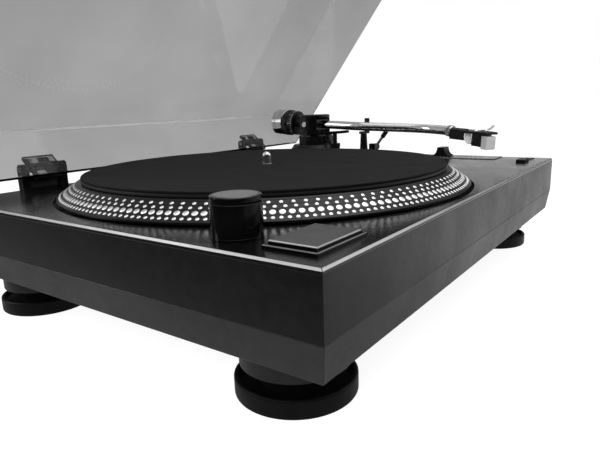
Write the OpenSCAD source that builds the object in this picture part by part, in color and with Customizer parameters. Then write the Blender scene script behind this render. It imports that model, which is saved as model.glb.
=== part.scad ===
// Belt drive turntable with an S shaped tonearm and a hinged dust cover, standing open.
// Origin: spindle axis on the top face of the slipmat. X right, Y to the rear, Z up.

/* [Deck] */
// Deck width, left to right
deck_w = 450; // [446:1:500]
// Deck depth, front to rear
deck_d = 350; // [348:1:400]
// Deck height without the feet
body_h = 54.2; // [50:0.1:70]
// Distance from the spindle axis to the left edge
spindle_from_left = 180.5; // [178:0.5:190]
// Distance from the spindle axis to the front edge
spindle_from_front = 174; // [173:0.5:190]
// Deck plate thickness
plate_t = 3; // [2.5:0.1:5]
// Bright chamfer along the plate's top edges
plate_chamfer = 1.4; // [0.8:0.1:1.8]
// Height of the tapered bottom casing
lower_h = 20.2; // [16:0.1:24]
// Inward taper of the bottom casing on each side
lower_taper = 3; // [1:0.1:6]
// Casing wall thickness
wall = 3; // [2:0.1:4]
// Clearance of fixed pieces that fit into each other
fit_gap = 0.1; // [0.05:0.01:0.15]
// Clearance of pieces that move past each other
move_gap = 0.3; // [0.2:0.05:0.5]
// Radial clearance of running shafts
run_gap = 0.04; // [0.01:0.01:0.1]

/* [Case screws] */
// Distance of each screw from the outer sides
screw_inset = 15; // [13:0.5:20]
// Screw shank radius
screw_r = 1.5; // [1:0.1:2]
// Screw head radius
screw_head_r = 3; // [2.5:0.1:3.5]
// Screw head thickness
screw_head_t = 1.8; // [1:0.1:2.4]
// Length of the screw inside the top casing
screw_grip = 8; // [6:0.5:12]
// Screw boss radius
boss_r = 5; // [4:0.1:6]

/* [Feet] */
// Distance of the foot centres from the deck's left and right edges
foot_inset_x = 44.5; // [40:0.5:60]
// Distance of the foot centres from the deck's front and rear edges
foot_inset_y = 48.5; // [42:0.5:60]
// Neck radius
neck_r = 31; // [24:0.5:34]
// Neck height under the casing
neck_h = 16.5; // [14:0.5:24]
// Gap between the neck and the pad's rim
neck_gap = 6; // [5:0.5:9]
// Pad radius
pad_r = 34.2; // [26:0.1:38]
// Pad height
pad_h = 11; // [8:0.5:14]
// Rounding of the pad's edges
pad_round = 1.5; // [0.5:0.1:2]
// Depth of the recess in the pad's top
pad_recess = 3; // [1:0.5:4]
// Width of the lip around that recess
pad_lip = 2.5; // [2.2:0.1:6]
// Radius of the raised middle of the pad
pad_core_r = 22; // [10:0.5:24]
// Levelling stud radius
stud_r = 4; // [3:0.5:6]
// Length of the stud inside the neck
stud_in = 10; // [8:0.5:14]
// Travel of a foot up or down
level_travel = 2; // [1:0.5:2.5]

/* [Platter] */
// Platter radius at the lower edge of its rim
platter_r = 166; // [160:0.5:166]
// Radius of the flat top of the platter
platter_top_r = 150.5; // [149:0.5:155]
// Height of the platter's top above the deck
platter_rise = 12.5; // [10:0.5:16]
// Height of the strobe rim's lower edge above the deck
rim_low = 2.1; // [1.5:0.1:4]
// Height of the upright land below the strobe rim
rim_land = 1.2; // [0.8:0.1:1.4]
// Thickness of the platter disc and rim
platter_t = 3; // [2:0.1:4]
// Radius of the platter's hub
hub_r = 20; // [18:0.5:30]
// Hub thickness
hub_t = 8; // [6:0.5:9]
// Outer radius of the drive ring under the platter
ring_r = 82; // [70:0.5:95]
// Drive ring thickness
ring_t = 3; // [2:0.1:5]
// Depth of the drive ring's lower edge below the deck's top
ring_low = 9.5; // [8:0.1:10.5]
// Radius of the well in the deck
well_r = 168.5; // [168:0.1:169.5]
// Depth of the well
well_depth = 12; // [11:0.5:14]
// Rubber mat thickness
mat_t = 2.6; // [2:0.1:4]
// Slipmat thickness
slipmat_t = 1.6; // [1:0.1:3]
// Radius of both mats
mat_r = 148; // [140:0.5:149]

/* [Spindle and bearing] */
// Spindle pin radius above the slipmat
pin_r = 3.6; // [3.5:0.01:3.62]
// Spindle pin radius inside the mats
pin_seat_r = 4.2; // [4:0.1:4.6]
// Straight height of the pin above the slipmat
pin_h = 6.4; // [5:0.1:10]
// Radius of the spindle inside the hub
hub_pin_r = 5; // [4.4:0.1:6]
// Radius of the collar that carries the hub
collar_r = 16; // [12:0.5:17.5]
// Collar thickness
collar_t = 3; // [2:0.1:5]
// Shaft radius in the bearing
shaft_r = 5.6; // [5.2:0.1:7]
// Depth of the shaft's end below the deck's top
shaft_end = 40; // [34:0.5:42]
// Bush wall thickness
bush_t = 2.5; // [1.5:0.1:4]
// Bush length
bush_l = 20; // [12:0.5:22]
// Bearing housing wall thickness
housing_t = 3; // [2:0.1:4]
// Radius of the bearing housing's flange
flange_r = 26; // [22:0.5:40]
// Thickness of the bearing housing's flange
flange_t = 3; // [2:0.1:4]

/* [Motor and belt] */
// Motor position to the left of the spindle
motor_left = 98; // [96:0.5:106]
// Motor position behind the spindle
motor_back = 72; // [70:0.5:80]
// Motor can radius
motor_r = 18; // [14:0.5:22]
// Motor can height
motor_h = 26; // [20:0.5:28]
// Radius of the motor's neck in the well floor
motor_neck_r = 6; // [4:0.1:6.5]
// Distance of the motor screws from its shaft
motor_screw_pcd_r = 12; // [11:0.5:12]
// Motor shaft radius
motor_shaft_r = 1.5; // [1:0.1:2]
// Pulley radius under the belt
pulley_r = 7; // [5:0.1:10]
// Height of the pulley's flanges above the belt's path
pulley_lip = 2; // [1:0.1:3]
// Pulley flange thickness
pulley_lip_t = 1.2; // [0.8:0.1:1.4]
// Belt width
belt_w = 5; // [3:0.1:5.5]
// Belt thickness
belt_t = 0.8; // [0.6:0.1:1.4]
// Depth of the belt's middle below the deck's top
belt_low = 5.6; // [5.4:0.1:6]

/* [Electronics] */
// Circuit board length, left to right
board_w = 110; // [80:1:120]
// Circuit board depth
board_d = 60; // [40:1:70]
// Circuit board thickness
board_t = 1.6; // [1:0.1:2.4]
// Height of the board's posts
board_post_h = 5; // [3:0.5:8]
// Board position to the right of the spindle
board_x = 60; // [50:1:70]
// Board position in front of the spindle
board_front = 95; // [88:1:100]
// Transformer length
transformer_w = 46; // [36:1:56]
// Transformer depth
transformer_d = 38; // [30:1:46]
// Transformer height
transformer_h = 28; // [20:0.5:29]
// Transformer position to the left of the spindle
transformer_left = 30; // [24:1:36]
// Transformer position in front of the rear edge
transformer_from_rear = 60; // [50:1:64]

/* [Strobe column and power knob] */
// Column distance from the left edge
column_from_left = 24; // [20:0.5:25]
// Column distance from the front edge
column_from_front = 67; // [62:0.5:70]
// Column radius
column_r = 13.5; // [10:0.1:14]
// Column height up to the knob
column_h = 18.6; // [15:0.1:24]
// Knob height
knob_h = 3.1; // [2.5:0.1:6]
// Radius of the grey inlay on the knob
knob_inlay_r = 11.5; // [8:0.1:12.5]
// Raised height of the inlay
knob_inlay_h = 0.3; // [0.2:0.1:0.6]
// Knob spindle radius
knob_pin_r = 3; // [2:0.1:4]
// Length of the knob spindle inside the column
knob_pin_l = 10; // [6:0.5:13]
// Width of the strobe hood
hood_w = 15; // [10:0.5:18]
// Reach of the hood beyond the column
hood_reach = 4; // [2:0.1:5]
// Height of the hood's lower edge
hood_low = 3; // [2:0.1:6]
// Height of the hood's upper edge
hood_high = 15; // [11:0.5:16]
// Window thickness
window_t = 1; // [0.6:0.1:1.6]
// Rim of the hood around the window
window_rim = 2; // [1.5:0.1:3]

/* [Start pad] */
// Pad frame width
start_frame_w = 45; // [43:0.5:50]
// Pad frame depth
start_frame_d = 31.5; // [31:0.5:33]
// Pad frame height above the deck
start_frame_h = 2; // [1.5:0.1:3]
// Start pad width
start_w = 39.5; // [34:0.5:40]
// Start pad depth
start_d = 28; // [24:0.5:28]
// Height of the pad's top above the deck
start_h = 3.8; // [3.4:0.1:6]
// Depth of the pad below the deck's top
start_low = 5; // [4:0.1:8]
// Pad centre from the left edge
start_from_left = 35; // [28:0.5:36]
// Pad centre from the front edge
start_from_front = 26.5; // [24:0.5:27]
// Travel of the start pad
start_travel = 1.2; // [0.5:0.1:1.6]
// Chamfer on the pads and frames
key_chamfer = 0.7; // [0.3:0.1:1]

/* [Speed buttons] */
// Button width
speed_w = 16; // [14:0.5:22]
// Button depth
speed_d = 9; // [6:0.5:12]
// Distance between the two button centres
speed_pitch = 25; // [23:0.5:27]
// Height of the released button above the deck
speed_h = 2.8; // [2.4:0.1:4]
// Travel between released and pressed
speed_travel = 1.9; // [1:0.1:2.2]
// Depth of the buttons below the deck's top
speed_low = 6; // [5:0.1:8]
// Middle of the pair from the right edge
speed_from_right = 30.5; // [28:0.5:36]
// Middle of the pair from the front edge
speed_from_front = 20.5; // [17:0.5:26]

/* [Pitch fader] */
// Fader slot from the right edge
fader_from_right = 20; // [18:0.5:24]
// Middle of the fader from the front edge
fader_from_front = 114; // [112:0.5:124]
// Fader plate width
fader_plate_w = 30; // [24:0.5:32]
// Fader plate length
fader_plate_l = 126; // [120:1:132]
// Fader plate height above the deck
fader_plate_h = 0.8; // [0.5:0.1:1.5]
// Slot width
fader_slot_w = 4; // [3:0.1:5]
// Travel of the knob each way from the middle
fader_travel = 42; // [30:1:44]
// Knob length at its foot
fader_knob_l = 20; // [16:0.5:24]
// Knob length at its top
fader_knob_top = 8.5; // [6:0.5:12]
// Knob width
fader_knob_w = 15; // [10:0.5:18]
// Knob height
fader_knob_h = 10; // [8:0.5:14]
// Height of the knob's upright foot
fader_knob_foot = 1.2; // [0.8:0.1:2]
// Length of the knob's stem in the slot
fader_stem_l = 8; // [5:0.5:10]
// Height of the fader's inner box
fader_box_h = 10; // [6:0.5:14]
// Width of the fader's inner box
fader_box_w = 16; // [10:0.5:20]

/* [Tonearm base] */
// Arm pivot to the right of the spindle
arm_x = 192.5; // [190:0.5:195]
// Arm pivot behind the spindle
arm_y = 81; // [78:0.5:84]
// Height of the lifting axis above the deck
arm_h = 41; // [40.6:0.1:42]
// Radius of the round base
base_r = 34; // [30:0.5:36]
// Height of the base's upright edge
base_edge_h = 5; // [4.5:0.1:7]
// Height of the base's shoulder
base_h = 17; // [15:0.1:17.2]
// Radius of the base's shoulder
base_top_r = 25; // [22:0.5:28]
// Radius of the fixed column
pillar_r = 18.8; // [16:0.1:19]
// Height of the fixed column
pillar_h = 27; // [26:0.1:27]
// Height of the foot plate under rest and lift
foot_plate_h = 4; // [3:0.1:4.5]
// Reach of the foot plate in front of the rest and the lever
plate_edge = 1.5; // [1:0.5:4]
// Foot plate edge to the left of the pivot
foot_plate_left = 22; // [21:0.5:24]
// Foot plate edge to the right of the pivot
foot_plate_right = 32; // [30:0.5:34]

/* [Gimbal] */
// Gimbal radius
yoke_r = 19; // [18.5:0.1:19.5]
// Height of the gimbal's top above the deck
yoke_top = 52; // [51:0.1:54]
// Gap between the column and the gimbal
yoke_gap = 1; // [0.5:0.1:1.2]
// Gimbal floor thickness
yoke_floor_t = 3.4; // [2.5:0.1:3.6]
// Gimbal roof thickness
yoke_roof_t = 3.4; // [2:0.1:3.5]
// Half width of the passage for the arm
yoke_half = 13.5; // [13.3:0.1:14]
// Swing shaft radius
swing_r = 5; // [4:0.1:7]
// Swing shaft length below the gimbal
swing_l = 14; // [8:0.5:20]
// Pivot screw radius
pivot_r = 1.5; // [1:0.1:2]
// Pivot screw head radius
pivot_head_r = 3.2; // [2.5:0.1:4]
// Pivot screw head thickness
pivot_head_t = 1; // [0.6:0.1:1.6]
// Depth of the pivot points in the arm block
pivot_in = 2; // [1.5:0.1:3]

/* [Tonearm] */
// Head down tilt of the arm at rest
arm_tilt = 2.6; // [2.4:0.1:2.7]
// Angle of the arm's rear part towards the platter at rest
arm_turn = 4; // [3:0.5:5]
// Arm block half width
block_half = 12.5; // [12:0.1:12.8]
// Arm block half length
block_len = 13; // [10:0.5:14]
// Arm block half height
block_high = 6.3; // [6:0.1:6.5]
// Tube radius
tube_r = 4.75; // [4:0.05:5]
// Tube wall
tube_t = 0.8; // [0.5:0.1:1.2]
// Straight length before the first bend
tube_first = 54; // [52:0.5:56]
// Bend radius of both bends
bend_r = 70; // [66:0.5:74]
// Angle of the outward bend
bend_out = 14; // [13:0.5:15]
// Straight length between the bends
tube_middle = 48; // [46:0.5:50]
// Angle of the head to the arm's rear part
bend_in = 26; // [25:0.5:27]
// Straight length behind the collet
tube_last = 8; // [7:0.5:10]
// Rear stub radius
stub_r = 5; // [4:0.1:6]
// Rear stub length behind the pivot
stub_l = 59.5; // [59.5:0.5:64]

/* [Counterweight] */
// Counterweight radius
weight_r = 15.5; // [12:0.5:16]
// Counterweight length
weight_l = 24; // [20:0.5:24]
// Front of the force dial behind the pivot
dial_from_pivot = 24; // [23.5:0.1:25]
// Force dial radius
dial_r = 14.5; // [11:0.5:15]
// Force dial length
dial_l = 9; // [6:0.5:9]
// Travel of the counterweight each way
weight_travel = 2; // [1:0.5:3]

/* [Head] */
// Collet nut radius
collet_r = 5.8; // [5.6:0.1:7]
// Collet nut length
collet_l = 8; // [7:0.5:12]
// Length of tube inside the collet nut
collet_on = 3; // [2.5:0.5:6]
// Headshell plug radius
plug_r = 3.9; // [3:0.1:4]
// Headshell length in front of the collet
shell_l = 53; // [51:0.5:54]
// Headshell width
shell_w = 18; // [16:0.5:20]
// Headshell plate thickness
shell_t = 2.2; // [1.6:0.1:3]
// Height of the headshell's top above the tube axis
shell_top = 2.8; // [2:0.1:4]
// Width of the headshell's nose
shell_nose_w = 14; // [10:0.5:15]
// Length of the headshell's nose taper
shell_nose_l = 10; // [8:0.5:12]
// Length of the neck block behind the plate
shell_neck_l = 20; // [14:0.5:21]
// Width of that neck block
shell_neck_w = 10; // [8:0.5:12]
// Height of that neck block
shell_neck_h = 10; // [8:0.5:11]
// Cartridge width
cart_w = 15; // [14:0.5:17]
// Cartridge length
cart_l = 10; // [9.5:0.5:12]
// Cartridge height
cart_h = 11.4; // [9:0.1:11.5]
// Front of the cartridge from the headshell's tip
cart_from_tip = 8; // [7:0.5:9]
// Distance between the cartridge screws
cart_screw_gap = 12.7; // [10:0.1:13]
// Cartridge screw radius
cart_screw_r = 1.3; // [1:0.1:1.5]
// Cartridge screw head radius
cart_head_r = 2.2; // [1.8:0.1:2.6]
// Cartridge screw head thickness
cart_head_t = 1.2; // [0.8:0.1:1.6]
// Screw place behind the cartridge's front
cart_screw_back = 6; // [5:0.5:7]
// Stylus block width
stylus_w = 5; // [4:0.5:7]
// Stylus block length
stylus_l = 10; // [8:0.5:11]
// Stylus block height
stylus_h = 1.1; // [0.8:0.1:1.2]
// Reach of the stylus block in front of the cartridge
stylus_reach = 4; // [2:0.5:5]
// Guard width
guard_w = 10.5; // [9:0.5:13]
// Guard length in front of the cartridge
guard_l = 8; // [7:0.5:9]
// Guard wall
guard_t = 1; // [0.8:0.1:1.4]
// Gap between the stylus block and the guard's floor
guard_room = 0.3; // [0.2:0.1:0.4]
// Height of the guard's top above the cartridge's lower face
guard_high = 9.8; // [8:0.1:10.2]
// Travel of the guard when it is pulled off
guard_travel = 12; // [8:0.5:16]
// Finger lift width
lift_w = 3; // [2:0.1:4]
// Finger lift thickness
lift_t = 0.9; // [0.7:0.1:1.4]
// Reach of the finger lift beside the headshell
lift_reach = 0.5; // [0.5:0.5:2]
// Radius of the finger lift's upward curl
lift_curl_r = 13; // [11:0.5:14]
// Angle of that curl
lift_curl = 48; // [44:1:56]
// Gap between the cartridge screws' heads and the finger lift
lift_gap = 0.4; // [0.3:0.1:2]
// Lead radius
lead_r = 1; // [0.7:0.05:1.05]
// Distance between neighbouring leads
lead_gap = 2.4; // [2.2:0.1:2.6]
// Straight length of each lead below the headshell's plate
lead_low = 3.4; // [3:0.1:4]

/* [Arm rest and cue lift] */
// Rest distance in front of the pivot
rest_s = 70; // [68:0.5:72]
// Radius at the foot of the rest post
rest_foot_r = 6; // [5:0.1:7]
// Radius at the top of the rest post
rest_top_r = 3.5; // [3:0.1:4.5]
// Saddle length along the arm
rest_saddle_l = 6; // [4:0.5:8]
// Saddle thickness
rest_saddle_t = 3; // [2:0.1:4]
// Finger thickness beside the tube
rest_finger_t = 2.6; // [2:0.1:4]
// Height of the finger's tip above the deck
rest_tip = 47; // [44:0.5:50]
// Radius of the cue lift's bow around the pivot
lift_bow_r = 47; // [46:0.5:49]
// Width of the bow
bow_w = 4; // [3:0.1:5]
// Thickness of the bow
bow_t = 3; // [2:0.1:4]
// Sweep of the bow
bow_sweep = 52; // [48:1:56]
// Radius of the lift's rod
lift_rod_r = 2.5; // [2:0.1:3]
// Radius of the lift's housing
lift_case_r = 6; // [5:0.1:6.2]
// Height of the lift's housing above the deck
lift_case_h = 20; // [16:0.5:22]
// Travel of the lift
lift_travel = 5; // [3:0.1:6]
// Lever axis to the right of the pivot
lever_x = 24; // [22:0.5:26]
// Lever axis in front of the pivot
lever_front = 71; // [68:0.5:74]
// Height of the lever's axis above the deck
lever_z = 13; // [11:0.5:15]
// Lever length
lever_l = 26; // [22:0.5:28]
// Lever rod radius
lever_r = 1.6; // [1.2:0.1:2]
// Grip radius
grip_r = 2.6; // [2.2:0.1:3]
// Grip length
grip_l = 12; // [8:0.5:14]
// Lever angle above level at rest
lever_angle = 52; // [48:1:56]
// Lever hub radius
lever_hub_r = 4; // [3.5:0.1:5]
// Lever hub length
lever_hub_l = 6; // [5:0.5:7]
// Lever pin radius
lever_pin_r = 1.5; // [1:0.1:2]
// Bracket thickness beside the lever
bracket_t = 6; // [5:0.5:8]

/* [Anti-skate dial] */
// Dial radius
skate_r = 7; // [5:0.1:7]
// Dial length
skate_l = 6; // [4:0.5:8]
// Height of its axis above the deck
skate_h = 25; // [24.8:0.1:25.2]
// Radius of its pin
skate_pin_r = 1.2; // [1:0.1:1.4]
// Length of its pin in the bracket
skate_pin_l = 6; // [4:0.5:8]
// Half width of its bracket
skate_bracket_half = 6; // [4:0.5:7]
// Radius of the raised marker on its face
skate_mark_r = 1.4; // [1:0.1:2]
// Distance of the marker from its axis
skate_mark_up = 2.7; // [1:0.1:4]

/* [Dust cover] */
// Cover height
cover_h = 62.5; // [62:0.5:70]
// Cover wall
cover_t = 3; // [2.5:0.1:4]
// Opening angle at rest
cover_open = 52; // [50:1:54]
// Gap between the closed cover and the deck
cover_gap = 1; // [0.8:0.1:2]
// Bumper thickness under the rim
bumper_t = 0.7; // [0.5:0.1:0.75]
// Bumper length
bumper_l = 14; // [8:0.5:20]
// Bumper width
bumper_w = 2.4; // [1.6:0.1:2.5]
// Hinge centres from the middle of the deck
hinge_x = 143; // [130:0.5:150]
// Hinge axis behind the deck's rear edge
hinge_back = 4.3; // [4.2:0.1:5]
// Hinge axis above the deck
hinge_up = 16.4; // [16:0.1:17]
// Hinge base half width
hinge_half = 21; // [18:0.5:23]
// Radius of the fixed hinge ears
ear_r = 4; // [3.6:0.1:4]
// Radius of the moving knuckle
knuckle_r = 3.8; // [3.4:0.1:3.9]
// Height of the hinge base's top above the deck
hinge_base_top = 9.4; // [8:0.1:9.6]
// Depth of the hinge base's lower end below the deck's top
hinge_base_low = 24; // [18:0.5:28]
// Hinge pin radius
hinge_pin_r = 2.2; // [1.6:0.1:2.4]
// Leaf thickness
leaf_t = 3; // [2.6:0.1:3.2]
// Leaf half width
leaf_half = 14; // [11:0.5:15]
// Leaf length above the axis
leaf_l = 11; // [8:0.5:14]

/* [Rear sockets] */
// Depth of the socket axes below the deck's top
socket_low = 23.5; // [22.5:0.5:24]
// Right phono jack from the middle of the deck
jack_x = 88; // [84:0.5:92]
// Distance between the phono jacks
jack_gap = 18; // [16:0.5:20]
// Phono jack radius
jack_r = 4.15; // [4.1:0.01:4.2]
// Phono jack length behind the wall
jack_l = 9; // [8:0.1:10]
// Phono jack flange radius
jack_flange_r = 6; // [5.5:0.1:7]
// Phono jack flange thickness
jack_flange_t = 1; // [0.8:0.1:1.6]
// Radius of the jack's centre contact
jack_bore_r = 1.6; // [1.4:0.1:1.8]
// Radius of the jack's threaded body in the wall
jack_body_r = 4; // [3:0.1:5]
// Ground terminal from the middle of the deck
ground_x = 46; // [42:0.5:52]
// Ground stud radius
ground_r = 2; // [1.5:0.1:2.5]
// Ground stud length
ground_l = 12; // [10:0.5:14]
// Ground nut radius
ground_nut_r = 4.6; // [4:0.1:6]
// Ground nut length
ground_nut_l = 6; // [4:0.5:8]
// Mains inlet left of the middle of the deck
inlet_left = 75; // [60:0.5:90]
// Mains inlet width
inlet_w = 24; // [20:0.5:28]
// Mains inlet height
inlet_h = 13; // [11:0.5:14]
// Mains inlet depth behind its frame
inlet_d = 20; // [16:0.5:26]
// Mains inlet frame overlap
inlet_frame = 2; // [1:0.1:3]
// Radius of the two rounded ends of its recess
inlet_bore_r = 4.2; // [3.5:0.1:4.5]
// Distance between those ends
inlet_bore_gap = 8; // [6:0.1:9]
// Contact pin radius
inlet_pin_r = 1.2; // [1:0.1:1.5]

/* [Hidden] */
$fn = 96;
eps = 0.01;
big = 1000;
// How far a cut runs past the face that it opens
over = 1;
flare_steps = 8;
lead_count = 4;
lead_fn = 24;

// Levels, measured from the top of the slipmat
z_platter = -slipmat_t - mat_t;
z_deck = z_platter - platter_rise;
z_seam = z_deck - body_h + lower_h;
z_case = z_deck - body_h;
z_floor_in = z_case + wall;
z_neck = z_case - neck_h;
z_pad = z_neck - neck_gap;
z_ground = z_pad - pad_h;
z_panel = z_deck - plate_t;
z_well = z_deck - well_depth;
z_well_under = z_well - wall;

// Deck edges and middle
left = -spindle_from_left;
right = left + deck_w;
front = -spindle_from_front;
rear = front + deck_d;
deck_x = (left + right) / 2;
deck_y = (front + rear) / 2;

// Places on the deck
column_x = left + column_from_left;
column_y = front + column_from_front;
column_to_spindle = atan2(-column_y, -column_x);
start_x = left + start_from_left;
start_y = front + start_from_front;
speed_x = right - speed_from_right;
speed_y = front + speed_from_front;
fader_x = right - fader_from_right;
fader_y = front + fader_from_front;
fader_slot_l = 2 * fader_travel + fader_stem_l + 4 * move_gap;
hinge_y = rear + hinge_back;
hinge_z = z_deck + hinge_up;
z_rim = z_deck + cover_gap;
leaf_gap = 2 * fit_gap;
socket_z = z_deck - socket_low;

// Bearing
bush_r = shaft_r + run_gap + bush_t;
housing_in_r = bush_r + run_gap;
housing_r = housing_in_r + housing_t;
z_shaft = z_deck - shaft_end;
z_hub = z_platter - hub_t;

// Belt path: two radii and the angle where the straight runs leave them
motor_dist = norm([motor_left, motor_back]);
motor_dir = atan2(motor_back, -motor_left);
belt_a_r = ring_r + move_gap;
belt_b_r = pulley_r + move_gap;
belt_lean = acos((belt_a_r - belt_b_r) / motor_dist);
belt_steps = 60;

// The bends are a hair thicker than the straight runs, which lap into them
bend_extra = 0.02;
bend_lap = 1;
// Length of the finger lift's flat part inside its curl, and of each lead's straight parts inside its loop
lift_lap = 0.4;
lead_lap = 0.4;

// Arm path in its own plan: w to the right of the arm, s along it towards the head
s_bend = tube_first;
s_middle = s_bend + bend_r * sin(bend_out);
w_middle = bend_r * (1 - cos(bend_out));
s_second = s_middle + tube_middle * cos(bend_out);
w_second = w_middle + tube_middle * sin(bend_out);
s_last = s_second + bend_r * (sin(bend_out) + sin(bend_in));
w_last = w_second + bend_r * (cos(bend_in) - cos(bend_out));
z_arm = z_deck + arm_h;
shell_z = shell_top - shell_t;
cart_z = shell_z - cart_h;
shell_start = tube_last + collet_l - collet_on + move_gap;
shell_tip = shell_start + shell_l;
cart_front = shell_tip - cart_from_tip;
guard_front = cart_front + guard_l;
cart_screw_y = cart_screw_back - cart_front;
lift_y = cart_screw_y + cart_head_r + lift_gap;

// Front of the anti-skate bracket, just clear of the gimbal above it
skate_back = yoke_r + move_gap;

// Arm rest and cue lift
rest_past = max(rest_s - tube_first, 0);
rest_w = bend_r - sqrt(pow(bend_r, 2) - pow(rest_past, 2));
foot_plate_l = max(lever_front + lever_hub_r, rest_s + rest_foot_r) + plate_edge;
rest_z = z_arm - rest_s * tan(arm_tilt) - tube_r - move_gap - eps;
bow_z = z_arm - lift_bow_r * tan(arm_tilt) - tube_r - 2 * move_gap;
bow_mid = bow_sweep / 2;
z_rod = z_deck + lift_travel + move_gap;

// Half outline of a block, mirrored about its middle, from rows of inset and height
function block_outline(w, rows) = concat(
    [for (row = rows) [w / 2 - row[0], row[1]]],
    [for (i = [len(rows) - 1:-1:0]) [rows[i][0] - w / 2, rows[i][1]]]);

// Block whose four sides all follow the same rows of inset and height
module profile_block(w, d, rows) {
    intersection() {
        rotate([90, 0, 0]) linear_extrude(height = d, center = true) polygon(block_outline(w, rows));
        rotate([90, 0, 90]) linear_extrude(height = w, center = true) polygon(block_outline(d, rows));
    }
}

// Block centred in plan, standing on z = 0
module plain_block(w, d, h) {
    translate([-w / 2, -d / 2, 0]) cube([w, d, h]);
}

// Places its children under each foot
module at_feet() {
    for (x = [left + foot_inset_x, right - foot_inset_x]) {
        for (y = [front + foot_inset_y, rear - foot_inset_y]) {
            translate([x, y, 0]) children();
        }
    }
}

// Places its children at each case screw
module at_case_screws() {
    for (x = [left + screw_inset, right - screw_inset]) {
        for (y = [front + screw_inset, rear - screw_inset]) {
            translate([x, y, 0]) children();
        }
    }
}

// Cuts through the plate and the casing for everything mounted on the deck
module deck_cuts() {
    translate([column_x, column_y, z_deck - big / 2]) cylinder(r = knob_pin_r, h = big);
    translate([start_x, start_y, z_deck - big / 2])
        plain_block(start_w + 2 * move_gap, start_d + 2 * move_gap, big);
    for (side = [-1, 1]) {
        translate([speed_x + side * speed_pitch / 2, speed_y, z_deck - big / 2])
            plain_block(speed_w + 2 * move_gap, speed_d + 2 * move_gap, big);
    }
    translate([fader_x, fader_y, z_deck - big / 2]) plain_block(fader_slot_w, fader_slot_l, big);
    translate([arm_x, arm_y, z_deck - big / 2]) cylinder(r = swing_r + run_gap, h = big);
}

// Deck
module deck_plate() {
    color("#2b2c2d")
    difference() {
        translate([deck_x, deck_y, z_panel])
            profile_block(deck_w, deck_d, [[0, 0], [0, plate_t - plate_chamfer], [plate_chamfer, plate_t]]);
        translate([0, 0, z_panel - over]) cylinder(r = well_r, h = big);
        deck_cuts();
    }
}

module top_casing() {
    cavity_w = deck_w - 2 * wall;
    cavity_d = deck_d - 2 * wall;
    color("#242526")
    difference() {
        translate([deck_x, deck_y, z_seam]) plain_block(deck_w, deck_d, z_panel - z_seam);
        difference() {
            translate([deck_x, deck_y, z_seam - over])
                plain_block(cavity_w, cavity_d, z_panel - wall - z_seam + over);
            translate([0, 0, z_well_under]) cylinder(r = well_r + wall, h = big);
            at_case_screws() translate([0, 0, z_seam - 2 * over]) cylinder(r = boss_r, h = big);
        }
        translate([0, 0, z_well]) cylinder(r = well_r, h = big);
        translate([0, 0, z_well_under - over]) cylinder(r = housing_r + fit_gap, h = big);
        translate([-motor_left, motor_back, z_well_under - over])
            cylinder(r = motor_neck_r + fit_gap, h = big);
        at_motor_screws() translate([0, 0, z_well_under - over]) cylinder(r = screw_r + fit_gap, h = big);
        at_case_screws() translate([0, 0, z_seam - over])
            cylinder(r = screw_r + run_gap, h = screw_grip + 2 * over);
        for (x = [jack_x, jack_x - jack_gap]) {
            rear_hole(deck_x + x, jack_body_r + fit_gap);
        }
        rear_hole(deck_x + ground_x, ground_r + fit_gap);
        translate([deck_x - inlet_left, rear, socket_z - inlet_h / 2 - fit_gap])
            plain_block(inlet_w + 2 * fit_gap, 4 * wall, inlet_h + 2 * fit_gap);
        deck_cuts();
    }
}

// Round hole through the rear wall
module rear_hole(x, r) {
    translate([x, rear + wall, socket_z]) rotate([90, 0, 0]) cylinder(r = r, h = 3 * wall);
}

module bottom_casing() {
    cavity_w = deck_w - 2 * (wall + lower_taper);
    cavity_d = deck_d - 2 * (wall + lower_taper);
    color("#303132")
    difference() {
        union() {
            difference() {
                translate([deck_x, deck_y, z_case])
                    profile_block(deck_w, deck_d, [[lower_taper, 0], [0, lower_h]]);
                translate([deck_x, deck_y, z_floor_in]) plain_block(cavity_w, cavity_d, lower_h);
            }
            at_case_screws() translate([0, 0, z_case + eps]) cylinder(r = boss_r, h = lower_h - eps);
            at_board_posts() translate([0, 0, z_floor_in - eps]) cylinder(r = boss_r, h = board_post_h + eps);
        }
        at_case_screws() {
            translate([0, 0, z_case - over]) cylinder(r = screw_r + run_gap, h = big);
            translate([0, 0, z_case - over]) cylinder(r = screw_head_r + fit_gap, h = screw_head_t + over);
        }
        at_feet() translate([0, 0, z_case - over])
            cylinder(r = stud_r + 3 * wall + fit_gap, h = 2 * (wall + over));
    }
}

module case_screws() {
    color("#6f7376")
    at_case_screws() {
        translate([0, 0, z_case]) cylinder(r = screw_head_r, h = screw_head_t);
        translate([0, 0, z_case + screw_head_t - eps])
            cylinder(r = screw_r, h = lower_h - screw_head_t + screw_grip + eps);
    }
}

// Feet
module foot_necks() {
    color("#1d1e1f")
    at_feet() difference() {
        union() {
            translate([0, 0, z_neck]) cylinder(r = neck_r, h = neck_h);
            translate([0, 0, z_neck]) cylinder(r = stud_r + 3 * wall, h = neck_h + wall);
        }
        translate([0, 0, z_neck - over])
            cylinder(r = stud_r + run_gap, h = stud_in + level_travel + 2 * over);
    }
}

// Rubber pad with its levelling stud
module foot(x, y) {
    rim_r = pad_r - pad_lip;
    core_top = pad_h + neck_gap - level_travel - 2 * move_gap;
    color("#161718")
    translate([x, y, z_ground]) {
        rotate_extrude() difference() {
            union() {
                square([pad_r - pad_round, pad_h]);
                translate([0, pad_round]) square([pad_r, pad_h - 2 * pad_round]);
                for (z = [pad_round, pad_h - pad_round])
                    translate([pad_r - pad_round, z]) circle(r = pad_round);
            }
            translate([pad_core_r, pad_h - pad_recess]) square([rim_r - pad_core_r, pad_h]);
            translate([-2 * pad_r, -over]) square([2 * pad_r, 3 * pad_h]);
        }
        cylinder(r = pad_core_r, h = core_top);
        cylinder(r = stud_r, h = pad_h + neck_gap + stud_in);
    }
}

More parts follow.
